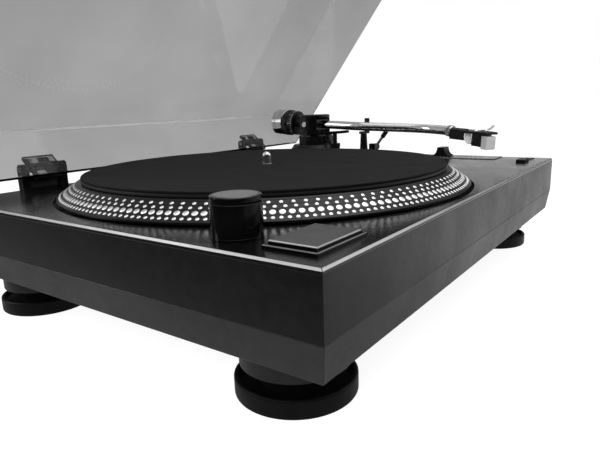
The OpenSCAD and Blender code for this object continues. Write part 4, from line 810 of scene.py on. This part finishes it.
# %% Strobe column
COLUMN = (-156.5, -107.0)
toward = math.degrees(math.atan2(-COLUMN[1], -COLUMN[0]))
bm = bmesh.new()
post = [(0, 0), (13.2, 0), (13.5, 0.3), (13.5, 1.4), (13.3, 1.6), (13.5, 1.8), (13.5, 18.2), (13.1, 18.6),
        (3.04, 18.6), (3.04, 7.6), (0, 7.6)]
revolve(bm, post, at(*COLUMN, DECK_Z), 112)
fresh = block(bm, (2, -7.5, 3), (17.5, 7.5, 15), at(*COLUMN, DECK_Z, ("Z", toward)), 0.7, steps=3)
facing = Matrix.Rotation(math.radians(toward), 3, "Z") @ Vector((1, 0, 0))
bm.normal_update()
front = max(fresh, key=lambda f: f.calc_area() if f.normal.dot(facing) > 0.99 else 0)
bmesh.ops.inset_region(bm, faces=[front], thickness=1.2 * MM, depth=0)
seat = bmesh.ops.extrude_face_region(bm, geom=[front])
moved = [v for v in seat["geom"] if isinstance(v, bmesh.types.BMVert)]
bmesh.ops.translate(bm, verts=moved, vec=facing * -1.1 * MM)
bmesh.ops.delete(bm, geom=[front], context="FACES_ONLY")
piece("strobe_post", bm, [gloss_black], "deck", "gloss_black", "strobe_column")

# %% Power knob
# A dim grey for the start frame's chamfer and the ring round the knob's inlay: a painted highlight on black.
frame_edge = finish("frame_edge", (0.08, 0.13), (0.28, 0.36), shader={"Metallic": 0.4}, Scale=700.0,
                    depth=0.000004)
inlay_grey = finish("inlay_grey", (0.2, 0.3), (0.3, 0.42), RINGS, depth=0.000008, centre=(*COLUMN, 0),
                    shader={"Metallic": 0.7}, Pitch=0.0004)
knob = [(0, -8.1), (3, -8.1), (3, 2.2), (13.0, 2.2), (13.4, 2.45), (13.5, 2.7), (13.5, 4.5), (13.35, 4.9),
        (12.9, 5.25), (12.3, 5.3), (12.05, 5.2), (11.75, 5.5), (11.45, 5.6), (11.2, 5.5), (0, 5.5)]
bm = bmesh.new()
# The ring round the inlay takes the dim grey, a painted highlight; the top takes the grey inlay.
revolve(bm, knob, at(*COLUMN, 0), 112, mats=[0] * 10 + [1, 1, 1, 2])
piece("knob_cap", bm, [gloss_black, frame_edge, inlay_grey], "power_knob", "gloss_black", "power_knob",
      smooth=30)
red_lens = finish("red_lens", ((0.32, 0.012, 0.008), (0.42, 0.02, 0.012)), (0.08, 0.16), Scale=600.0,
                  depth=0.00001, shader={"Transmission Weight": 0.35, "IOR": 1.49})
dress("strobe_window", red_lens)

# %% [markdown]
# ## Keys and fader
# The start pad is a broad key of brushed metal in a black frame. Two small keys choose the speed, and a
# flared slider sets the pitch beside a scale. The keys are copies of their solids with broken edges. The
# slider's flare is a drawn curve, and the scale's marks are grown in rows.

# %% Start pad and speed keys
pad_metal = finish("pad_metal", (0.085, 0.13), (0.28, 0.4), BRUSH, depth=0.000006,
                   shader={"Metallic": 0.75}, Stretch=(40.0, 1600.0, 1600.0))
# A lighter grey for the start pad's chamfer and the fader plate's sides: a painted highlight.
edge_grey = finish("edge_grey", (0.26, 0.34), (0.35, 0.45), Scale=800.0, depth=0.000004)
key_black = finish("key_black", (0.003, 0.006), (0.24, 0.36), shader=SOFT, Scale=800.0, depth=0.00001)
for node, name, paint, edge, body, slot in (
        ("start_bezel", "start_frame", gloss_black, frame_edge, "deck", "gloss_black"),
        ("start_button", "start_pad", pad_metal, edge_grey, "start_button", "steel"),
        ("speed_button_left", "speed_key_left", key_black, key_black, "speed_left", "gloss_black"),
        ("speed_button_right", "speed_key_right", key_black, key_black, "speed_right", "gloss_black")):
    bm = from_frame(node)
    bm.normal_update()
    for face in bm.faces:
        # Sloped faces take the second finish, a painted highlight on the start frame and the start pad; upright
        # faces take gloss black, which on the start pad's sides is painted shade in the gap to the frame.
        face.material_index = 1 if slopes(face) else 2 if abs(face.normal.z) < 0.3 else 0
    broken_edges(bm, sharp_edges(bm, steep=30), 0.16)
    piece(name, bm, [paint, edge, gloss_black], body, slot, node)

# %% Fader plate and scale
FADER = (249.5, -60.0)
SCALE_MARKS, SCALE_STEP, SCALE_HALF = 21, 4.2, 42
mark_white = finish("mark_white", (0.6, 0.72), (0.45, 0.55), Scale=900.0, depth=0.000003)
bm = from_frame("pitch_bezel")
bm.normal_update()
for face in bm.faces:
    # The plate's sides above the deck take the lighter grey, a painted highlight.
    if abs(face.normal.z) < 0.5 and face.calc_center_median().z > DECK_Z * MM:
        face.material_index = 1
broken_edges(bm, sharp_edges(bm), 0.2)
piece("fader_plate", bm, [satin_black, edge_grey], "deck", "gloss_black", "pitch_bezel")
bm = bmesh.new()
for side in (-1, 1):
    start = at(FADER[0] + side * 8.0, FADER[1] - SCALE_HALF, DECK_Z + 0.82)
    grow(bm, MARKS_ROW, start, count=SCALE_MARKS, step=(0, SCALE_STEP * MM, 0), long_every=5, long_by=1.6,
         size=(4.0 * MM, 0.5 * MM, 0.06 * MM), finish=mark_white)
piece("fader_scale", bm, [mark_white], "deck", "lead_white")

# %% Fader slider
flare = [(10 - 5.75 * math.sin(a), 1.2 + 8.8 * (1 - math.cos(a))) for a in
         [math.radians(90 * i / 20) for i in range(21)]]
outline = [(-10, 0), (10, 0)] + flare + [(-y, z) for y, z in flare[::-1]]
bm = bmesh.new()
slider = at(*FADER, DECK_Z + 1.1)
prism(bm, outline, -7.5, 7.5, at(*FADER, DECK_Z + 1.1, ("Z", 90), ("X", 90)), 0.35)
block(bm, (-1.7, -4, -7.0), (1.7, 4, 0.2), slider, 0.1)
block(bm, (-6.6, -0.45, 9.9), (6.6, 0.45, 10.04), slider, 0.02, mat=1)
piece("fader_slider", bm, [key_black, mark_white], "pitch_knob", "gloss_black", "pitch_knob", smooth=30)

# %% [markdown]
# ## Tonearm base
# The arm stands on a turned base with a flat foot that reaches forward to the cue lever and the arm rest.
# The base is a cone turned with its foot from one casting, so it is a copy of its solid with broken edges.

# %% Arm base
ARM = (192.5, 81.0)
ARM_Z, ARM_TURN, ARM_TILT, HEAD_TURN = 24.3, -4, 2.6, 26
in_swing = at(*ARM, 0, ("Z", ARM_TURN))
in_arm = at(*ARM, ARM_Z, ("Z", ARM_TURN), ("X", ARM_TILT))
in_head = in_arm @ at(8.6865, -165.1295, 0, ("Z", -HEAD_TURN))
arm_black = finish("arm_black", (0.002, 0.004), (0.22, 0.34), shader=SOFT, Scale=900.0, depth=0.00001)
broken_copy("arm_stand", "arm_base", arm_black, "deck", "gloss_black", 0.4)

# %% Gimbal
YOKE_R, YOKE_GAP, PLATE = 19, 13.5, 3.4
low, high = DECK_Z + 28, DECK_Z + 52
bm = bmesh.new()
revolve(bm, [(0, low - 14), (5, low - 14), (5, low), (18.4, low), (YOKE_R, low + 0.6),
             (YOKE_R, low + PLATE), (0, low + PLATE)], in_swing, 128)
revolve(bm, [(0, high - PLATE), (YOKE_R, high - PLATE), (YOKE_R, high - 1.0), (18.0, high), (8.2, high),
             (8, high - 0.3), (7.6, high - 0.3), (7.4, high), (0, high)], in_swing, 128)
half = math.degrees(math.acos(YOKE_GAP / YOKE_R))
wall = arc(0, 0, YOKE_R, -half, half, 32)
for turn in (0, 180):
    prism(bm, wall, low + PLATE, high - PLATE, in_swing @ at(0, 0, 0, ("Z", turn)), 0)
piece("gimbal_housing", bm, [arm_black], "gimbal", "gloss_black", "gimbal_yoke", smooth=32)
bm = bmesh.new()
for side in (-90, 90):
    spot = in_swing @ at(0, 0, ARM_Z, ("Y", side))
    revolve(bm, [(0, 10.5), (1.5, 10.5), (1.5, 19), (3.0, 19), (3.2, 19.2), (3.2, 19.7), (2.9, 20), (1.5, 20),
                 (1.3, 19.7), (0, 19.7)], spot, 40)
piece("pivot_caps", bm, [chrome], "gimbal", "chrome", "pivot_screws")

# %% [markdown]
# ## Tonearm
# The S-shaped tube is drawn steel, bent out and then in so that the head meets the groove at an angle. A
# section swept along straights and arcs gives it without a seam. The block behind it carries the
# counterweight's stub.

# %% Arm block
along_stub = in_arm @ at(0, 0, 0, ("X", -90))
bm = bmesh.new()
block(bm, (-12.5, -13, -6.3), (12.5, 13, 6.3), in_arm, 0.8)
stub = [(0, 12.8), (5, 12.8), (5, 58.7), (4.2, 59.5), (0, 59.5)]
revolve(bm, stub, along_stub, 48, mats=1)
piece("pivot_block", bm, [arm_black, brushed_alloy], "tonearm", "arm_alloy", "arm_block")

# %% Arm tube
TUBE_R, TUBE_START, BEND_START, BEND_R, BEND_OUT, SECOND_RUN = 4.75, 7, 54, 70, 14, 48


def s_path():
    """The tube's middle: a straight, a bend out, a straight, a longer bend in and a short end."""
    spots = [Vector((0, -TUBE_START - (BEND_START - TUBE_START) * i / 6, 0)) for i in range(6)]
    for i in range(13):
        a = math.radians(BEND_OUT * i / 12)
        spots.append(Vector((BEND_R * (1 - math.cos(a)), -BEND_START - BEND_R * math.sin(a), 0)))
    out = math.radians(BEND_OUT)
    x2, y2 = spots[-1].x + SECOND_RUN * math.sin(out), spots[-1].y - SECOND_RUN * math.cos(out)
    spots += [spots[-1].lerp(Vector((x2, y2, 0)), i / 6) for i in range(1, 6)]
    for i in range(33):
        a = math.radians(BEND_OUT - (BEND_OUT + HEAD_TURN) * i / 32)
        spots.append(Vector((x2 + BEND_R * (math.cos(a) - math.cos(out)),
                             y2 + BEND_R * (math.sin(a) - math.sin(out)), 0)))
    last = spots[-1]
    way = Vector((math.sin(math.radians(-HEAD_TURN)), -math.cos(math.radians(HEAD_TURN)), 0))
    spots += [last + way * 4, last + way * 8]
    return spots


bm = bmesh.new()
tube(bm, s_path(), TUBE_R, 48, in_arm)
piece("arm_s_tube", bm, [chrome], "tonearm", "arm_alloy", "arm_tube", smooth=50)

# %% Counterweight
weight_steel = finish("weight_steel", (0.46, 0.58), (0.07, 0.13), RINGS, depth=0.000004,
                      centre=(*ARM, ARM_Z), turn=(ARM_TILT - 90, 0, ARM_TURN), shader=METAL, Pitch=0.0007)
weight = [(5.04, 33.3), (14.6, 33.3), (15.2, 33.9), (15.2, 39.4), (14.6, 39.8), (14.6, 40.6), (15.5, 41.2),
          (15.5, 49.6), (15.1, 50.0), (15.1, 50.6), (15.5, 51.0), (15.5, 55.8), (14.2, 57.3), (11.5, 57.3),
          (11.0, 56.6), (7.5, 56.6), (7.0, 57.3), (5.04, 57.3)]
bm = bmesh.new()
revolve(bm, weight, along_stub, 112, mats=[1] * 5 + [0] * 13, ring=True)
grow_bars(bm, RIDGES, along_stub @ at(0, 0, 36.6), 72, (15.1, 0.38, 0.55, 5.0), key_black, 1)
piece("weight_barrel", bm, [weight_steel, key_black], "counterweight", "weight_metal", "counterweight",
      smooth=30)

# %% Force dial
def numeral(bm, text, size, place, mat):
    """A plain number as thin mesh, centred, facing the local +Z."""
    words = bpy.data.curves.new("numeral", "FONT")
    words.body = text
    words.size = size * MM
    words.extrude = 0.02 * MM
    words.align_x, words.align_y = "CENTER", "CENTER"
    host = bpy.data.objects.new("numeral", words)
    scene.collection.objects.link(host)
    take_in(bm, host, place, mat)


DIAL_R, NUMBERS = 14.45, 8
ring = [(5.04, 24), (13.6, 24), (14.3, 24.5), (DIAL_R, 25), (DIAL_R, 32.4), (14.2, 33), (5.04, 33)]
bm = bmesh.new()
revolve(bm, ring, along_stub, 112, ring=True)
grow_bars(bm, RING_MARKS, along_stub @ at(0, 0, 26.2), 40, (DIAL_R, 0.06, 0.28, 1.8), mark_white, 1)
grow_bars(bm, RING_MARKS, along_stub @ at(0, 0, 26.7), NUMBERS, (DIAL_R, 0.06, 0.45, 2.8), mark_white, 1)
for i in range(NUMBERS):
    spot = along_stub @ at(0, 0, 0, ("Z", 360 / NUMBERS * i)) @ at(14.47, 0, 30.2, ("Y", 90), ("Z", 90))
    numeral(bm, str(i % 4), 3.0, spot, 1)
piece("force_ring", bm, [key_black, mark_white], "force_dial", "gloss_black", "force_dial", smooth=30)

# %% [markdown]
# ## Head
# A knurled collet locks the headshell to the tube. Under the shell hang the cartridge and its guard, with
# four short leads behind. The knurl is grown on a ring, the leads are swept, and the shell and the
# cartridge are copies of their solids with broken edges.

# %% Collet
along_head = in_head @ at(0, 0, 0, ("X", 90))
bm = bmesh.new()
nut = [(4.8, 5), (5.2, 5), (5.5, 5.3), (5.5, 6.2), (5.2, 6.5), (5.2, 6.8), (5.5, 7.1), (5.5, 11.7), (5.1, 12.4),
       (4.7, 13), (3.94, 13), (3.94, 8.3), (4.8, 8.3)]
revolve(bm, nut, along_head, 72, ring=True)
grow_bars(bm, RIDGES, along_head @ at(0, 0, 9.4), 40, (5.45, 0.34, 0.38, 4.2), brushed_alloy)
piece("collet_sleeve", bm, [brushed_alloy], "collet", "arm_alloy", "collet_nut", smooth=30)

# %% Headshell, lift and cartridge
shell_black = finish("shell_black", (0.002, 0.004), (0.26, 0.38), shader=SOFT, Scale=1200.0, depth=0.00001)
broken_copy("head_shell", "headshell", shell_black, "tonearm", "gloss_black", 0.3)
curl = arc(9.5, 13, 13, -90, -42, 16)
inner = arc(9.5, 13, 12.1, -42, -90, 16)
bm = bmesh.new()
prism(bm, [(4.5, 0)] + curl + inner + [(4.5, 0.9)], -3, 0,
      in_head @ at(0, -49.7, 2.8, ("X", 90)), 0.2)
piece("lift_finger", bm, [brushed_alloy], "tonearm", "steel", "finger_lift")
broken_copy("pickup_body", "cartridge", key_black, "tonearm", "gloss_black", 0.3)
screw = [(0, -5.0), (1.3, -5.0), (1.3, 2.8), (2.2, 2.8), (2.2, 3.5), (1.7, 4.0), (0.9, 4.0), (0.9, 3.4),
         (0, 3.4)]
bm = bmesh.new()
for side in (-1, 1):
    revolve(bm, screw, in_head @ at(side * 6.35, -52.3, 0), 32, mats=[1, 1] + [0] * 6)
piece("pickup_screws", bm, [chrome, key_black], "tonearm", "steel", "cartridge_screws")

# %% Leads
lead_white = finish("lead_white", (0.86, 0.94), (0.4, 0.5), Scale=1500.0, depth=0.000006)
LEADS, LEAD_STEP, LEAD_R = 4, 2.4, 0.97
loop = [(-34.4, 0.55)] + arc(-40.8, -2.8, 6.4, 0, -180, 24) + [(-47.2, 0.55)]
bm = bmesh.new()
for i in range(LEADS):
    x = (i - (LEADS - 1) / 2) * LEAD_STEP
    tube(bm, [(x, y, z) for y, z in loop], LEAD_R, 16, in_head)
piece("head_wires", bm, [lead_white], "tonearm", "lead_white", "head_leads", smooth=50)

# %% Stylus guard
guard_clear = finish("guard_clear", (0.8, 0.9), (0.3, 0.4), Scale=500.0, depth=0.00001,
                     shader={"Transmission Weight": 0.5, "IOR": 1.4})
GUARD_FRONT = -66
from_head = in_head.inverted()


def guard_front(edge):
    a, b = [from_head @ v.co / MM for v in edge.verts]
    return a.y < GUARD_FRONT and b.y < GUARD_FRONT and abs(a.x - b.x) > 5


bm = from_frame("stylus_guard")
broken_edges(bm, sharp_edges(bm, guard_front), 1.4, 5)
broken_edges(bm, sharp_edges(bm), 0.3, 2)
piece("needle_guard", bm, [guard_clear], "stylus_guard", "clear_white", "stylus_guard")

# %% [markdown]
# ## Arm rest, cue lift and anti-skate
# The rest is a slim turned post with a saddle. The cue lever tips forward and lowers a curved bar under
# the tube, and a small dial sets the side force. Round parts are spun, and the bar is an arc given depth.

# %% Arm rest
def under_tube(reach, gap):
    """The height below the tube at a distance in front of the pivot."""
    return ARM_Z - reach * math.tan(math.radians(ARM_TILT)) - TUBE_R - gap


REST_Y = 70
rest_z = under_tube(REST_Y, 0.31)
rest_w = BEND_R - math.sqrt(BEND_R ** 2 - (REST_Y - BEND_START) ** 2)
post_place = in_swing @ at(rest_w, -REST_Y, 0)
bm = bmesh.new()
revolve(bm, softened([(0, DECK_Z + 4), (6, DECK_Z + 4), (6, DECK_Z + 5.2), (4.6, DECK_Z + 9),
                      (3.5, rest_z - 3), (0, rest_z - 3)], 0.5), post_place, 56)
block(bm, (-5.35, -3, rest_z - 3), (7.95, 3, rest_z - 0.3), post_place, 0.4)
block(bm, (5.95, -3, rest_z - 3), (7.95, 3, DECK_Z + 47), post_place, 0.5)
piece("rest_post", bm, [arm_black], "deck", "gloss_black", "arm_rest")

# %% Cue lift
LIFT_TURN, LIFT_R = -26, 47
at_lift = at(*ARM, 0, ("Z", LIFT_TURN)) @ at(0, -LIFT_R, 0)
bow_z = under_tube(LIFT_R, 0.6)
bm = bmesh.new()
revolve(bm, softened([(2.54, 4), (6, 4), (6, 6.5), (5.5, 7), (5.5, 15.5), (6, 16), (6, 20), (2.54, 20)], 0.3),
        at_lift @ at(0, 0, DECK_Z), 56, ring=True)
piece("lift_sleeve", bm, [arm_black], "deck", "arm_alloy", "lift_housing")
bm = bmesh.new()
bow = arc(0, 0, LIFT_R + 2, -142, -90, 40) + arc(0, 0, LIFT_R - 2, -90, -142, 40)
prism(bm, bow, bow_z - 3, bow_z, at(*ARM, 0), 0.5)
revolve(bm, [(0, -11.4), (2.5, -11.4), (2.5, bow_z - 2.9), (0, bow_z - 2.9)], at_lift, 36, mats=1)
piece("lift_bow", bm, [foot_rubber, arm_black], "cue_lift", "arm_alloy", "lift_bar", smooth=30)

# %% Cue lever
LEVER_LEAN = 38
lever = at(216.5, 10, DECK_Z + 13)
axle, stick = lever @ at(0, 0, 0, ("Y", 90)), lever @ at(0, 0, 0, ("X", LEVER_LEAN))
bm = bmesh.new()
revolve(bm, softened([(0, -3), (4, -3), (4, 3), (0, 3)], 0.5), axle, 44)
revolve(bm, [(0, -9), (1.5, -9), (1.5, -2.9), (0, -2.9)], axle, 24)
revolve(bm, [(0, 2), (1.6, 2), (1.6, 14), (2.4, 14.3), (2.6, 14.8), (2.6, 23.4)] + arc(0, 23.4, 2.6, 5, 85, 8)
        + [(0, 26)], stick, 40, mats=[1, 1] + [0] * 20)
piece("cue_handle", bm, [key_black, brushed_alloy], "cue_lever", "gloss_black", "cue_lever", smooth=30)

# %% Anti-skate dial
skate = at(ARM[0], 61.4, 8.3, ("X", 90))
bm = bmesh.new()
revolve(bm, [(0, -6), (1.2, -6), (1.2, 0), (6.6, 0), (6.6, 4.6), (6.2, 5.7), (5.8, 6), (0, 6)], skate, 64)
grow_bars(bm, RIDGES, skate @ at(0, 0, 2.4), 36, (6.5, 0.4, 0.4, 4.0), key_black)
revolve(bm, [(0, 5.8), (1.4, 5.8), (1.4, 6.2), (1.2, 6.3), (0, 6.3)], skate @ at(0, 2.7, 0), 24, mats=1)
piece("skate_dial", bm, [key_black, mark_white], "antiskate_dial", "gloss_black", "antiskate_dial", smooth=30)

# %% [markdown]
# ## Dust cover and hinges
# The lid is smoked acrylic, three millimetres thick. Its tint comes from the sheet's base colour, which
# light meets once on the way in and once on the way out. Faint wipe marks move the roughness. The edges
# are polished round. A pale strip along the inner corner at the back is a painted highlight for the light
# that the acrylic carries along that corner. Each hinge leaf is a clear socket with dark sides, and black
# tongues inside it run past the pin. The leaf's packed shape gives the socket, and two faces of it get
# the clear finish.

# %% Dust cover
smoked = finish("smoked", (0.3, 0.4), (0.0, 0.05), Scale=40.0, depth=0.0000004, marks=9.0,
                shader={"Transmission Weight": 1.0, "IOR": 1.3})
# A pale white for a strip in the lid's inner back corner: a painted highlight for the light the acrylic carries
# there.
seam_white = finish("seam_white", (0.8, 0.9), (0.3, 0.4), Scale=400.0, depth=0.000002)
LID_ANGLE, LID_WALL, LID_GAP, LID_HEIGHT = 52, 3, 1, 62.5
HINGE_Y, HINGE_Z, HINGE_X = REAR + 4.3, -0.3, (-98.5, 187.5)
opened = at(0, HINGE_Y, HINGE_Z, ("X", -LID_ANGLE)) @ at(0, -HINGE_Y, -HINGE_Z)
lid_in, lid_under = REAR - LID_WALL, DECK_Z + LID_GAP + LID_HEIGHT - LID_WALL
bm = from_frame("dust_cover")
broken_edges(bm, sharp_edges(bm), 0.6, 3)
# The pale strip along the inner back corner is a painted highlight.
corner_highlight = [(lid_in, lid_under), (lid_in - 1.4, lid_under), (lid_in - 0.5, lid_under - 0.5),
        (lid_in, lid_under - 1.4)]
prism(bm, corner_highlight, LEFT + LID_WALL, RIGHT - LID_WALL, opened @ at(0, 0, 0, ("Z", 90), ("X", 90)), mat=1)
piece("lid_shell", bm, [smoked, seam_white], "cover", "smoked", "dust_cover")
dress("lid_bumpers", foot_rubber)

# %% Hinges
hinge_black = finish("hinge_black", (0.002, 0.004), (0.3, 0.42), shader={"Specular IOR Level": 0.15},
                     Scale=900.0, depth=0.00002)
steel = finish("steel", (0.45, 0.58), (0.22, 0.34), shader=METAL, Scale=900.0, depth=0.000004)
socket_clear = finish("socket_clear", (0.42, 0.52), (0.02, 0.08), Scale=60.0, depth=0.0000004, marks=9.0,
                      shader={"Transmission Weight": 1.0, "IOR": 1.3})
screw = [(0, -0.3), (2.1, -0.3), (2.1, 0.5), (1.6, 0.9), (0.7, 0.9), (0.7, 0.4), (0, 0.4)]
shut = opened.inverted().to_3x3()
bm = from_frame("hinge_leaves")
bm.normal_update()
for face in bm.faces:
    if abs((shut @ face.normal).y) > 0.9:
        face.material_index = 2
broken_edges(bm, sharp_edges(bm), 0.4)
for x in HINGE_X:
    for left, right in ((-13.4, -10), (-2, 8)):
        for low, high in ((-12, -3.2), (2.6, 8.6)):
            block(bm, (x + left, REAR + 1.1, low), (x + right, REAR + 3.1, high), opened, 0.3)
    for side in (-8, 8):
        revolve(bm, screw, opened @ at(x + side, REAR + 3.2, 7.2, ("X", -90)), 28, mats=1)
piece("lid_leaves", bm, [hinge_black, steel, socket_clear], "cover", "gloss_black", "hinge_leaves")
broken_copy("hinge_towers", "hinge_bases", hinge_black, "deck", "gloss_black", 0.4)
for node in ("hinge_pins", "case_screws", "motor_screws"):
    dress(node, steel)

# %% [markdown]
# ## Rear sockets and works
# Sockets, an earth post and a mains inlet are on the back, and the drive is inside. The sockets are spun,
# with coloured insulators. The works stay as packed and get their own finishes.

# %% Sockets
brass = finish("brass", ((0.6, 0.42, 0.16), (0.72, 0.52, 0.22)), (0.18, 0.3), shader=METAL, Scale=700.0,
               depth=0.000004)
insulator_red = finish("insulator_red", ((0.3, 0.015, 0.01), (0.38, 0.02, 0.015)), (0.3, 0.4), Scale=800.0,
                       depth=0.000006)
SOCKET_Z = -40.2
jack = [(0, -6), (4, -6), (4, 0), (6, 0), (6, 1), (4.15, 1), (4.15, 8.6), (3.8, 9), (3.2, 9), (3.2, 8.2),
        (1.6, 8.2), (1.6, 1), (0, 1)]
bm = bmesh.new()
for x, ring in ((132.5, 1), (114.5, 2)):
    revolve(bm, jack, at(x, REAR, SOCKET_Z, ("X", -90)), 48, mats=[0] * 9 + [ring, ring, 0])
piece("signal_sockets", bm, [brass, insulator_red, lead_white], "deck", "brass", "phono_jacks", smooth=30)
bm = bmesh.new()
spot = at(90.5, REAR, SOCKET_Z, ("X", -90))
revolve(bm, [(0, -6), (2, -6), (2, 0), (4.3, 0), (4.3, 5.6), (3.9, 6), (2, 6), (2, 11.6), (1.6, 12), (0, 12)],
        spot, 40)
grow_bars(bm, RIDGES, spot @ at(0, 0, 2.9), 28, (4.25, 0.34, 0.4, 5.0), steel)
piece("earth_post", bm, [steel], "deck", "steel", "ground_terminal", smooth=30)
dress("mains_inlet", hinge_black)

# %% Works
core_steel = finish("core_steel", (0.1, 0.18), (0.45, 0.6), BRUSH, depth=0.00002, shader={"Metallic": 0.6},
                    Stretch=(1500.0, 30.0, 1500.0))
board_green = finish("board_green", ((0.012, 0.075, 0.03), (0.02, 0.11, 0.045)), (0.3, 0.45), Scale=300.0)
belt_rubber = finish("belt_rubber", (0.008, 0.014), (0.5, 0.65), Scale=1800.0)
cast_metal = finish("cast_metal", (0.2, 0.3), (0.4, 0.55), shader={"Metallic": 0.8}, Scale=600.0,
                    depth=0.00004)
for node, paint in (("bearing_housing", cast_metal), ("bearing_bush", brass), ("motor", steel),
                    ("motor_pulley", brass), ("drive_belt", belt_rubber), ("circuit_board", board_green),
                    ("transformer", core_steel), ("pitch_box", core_steel)):
    dress(node, paint)
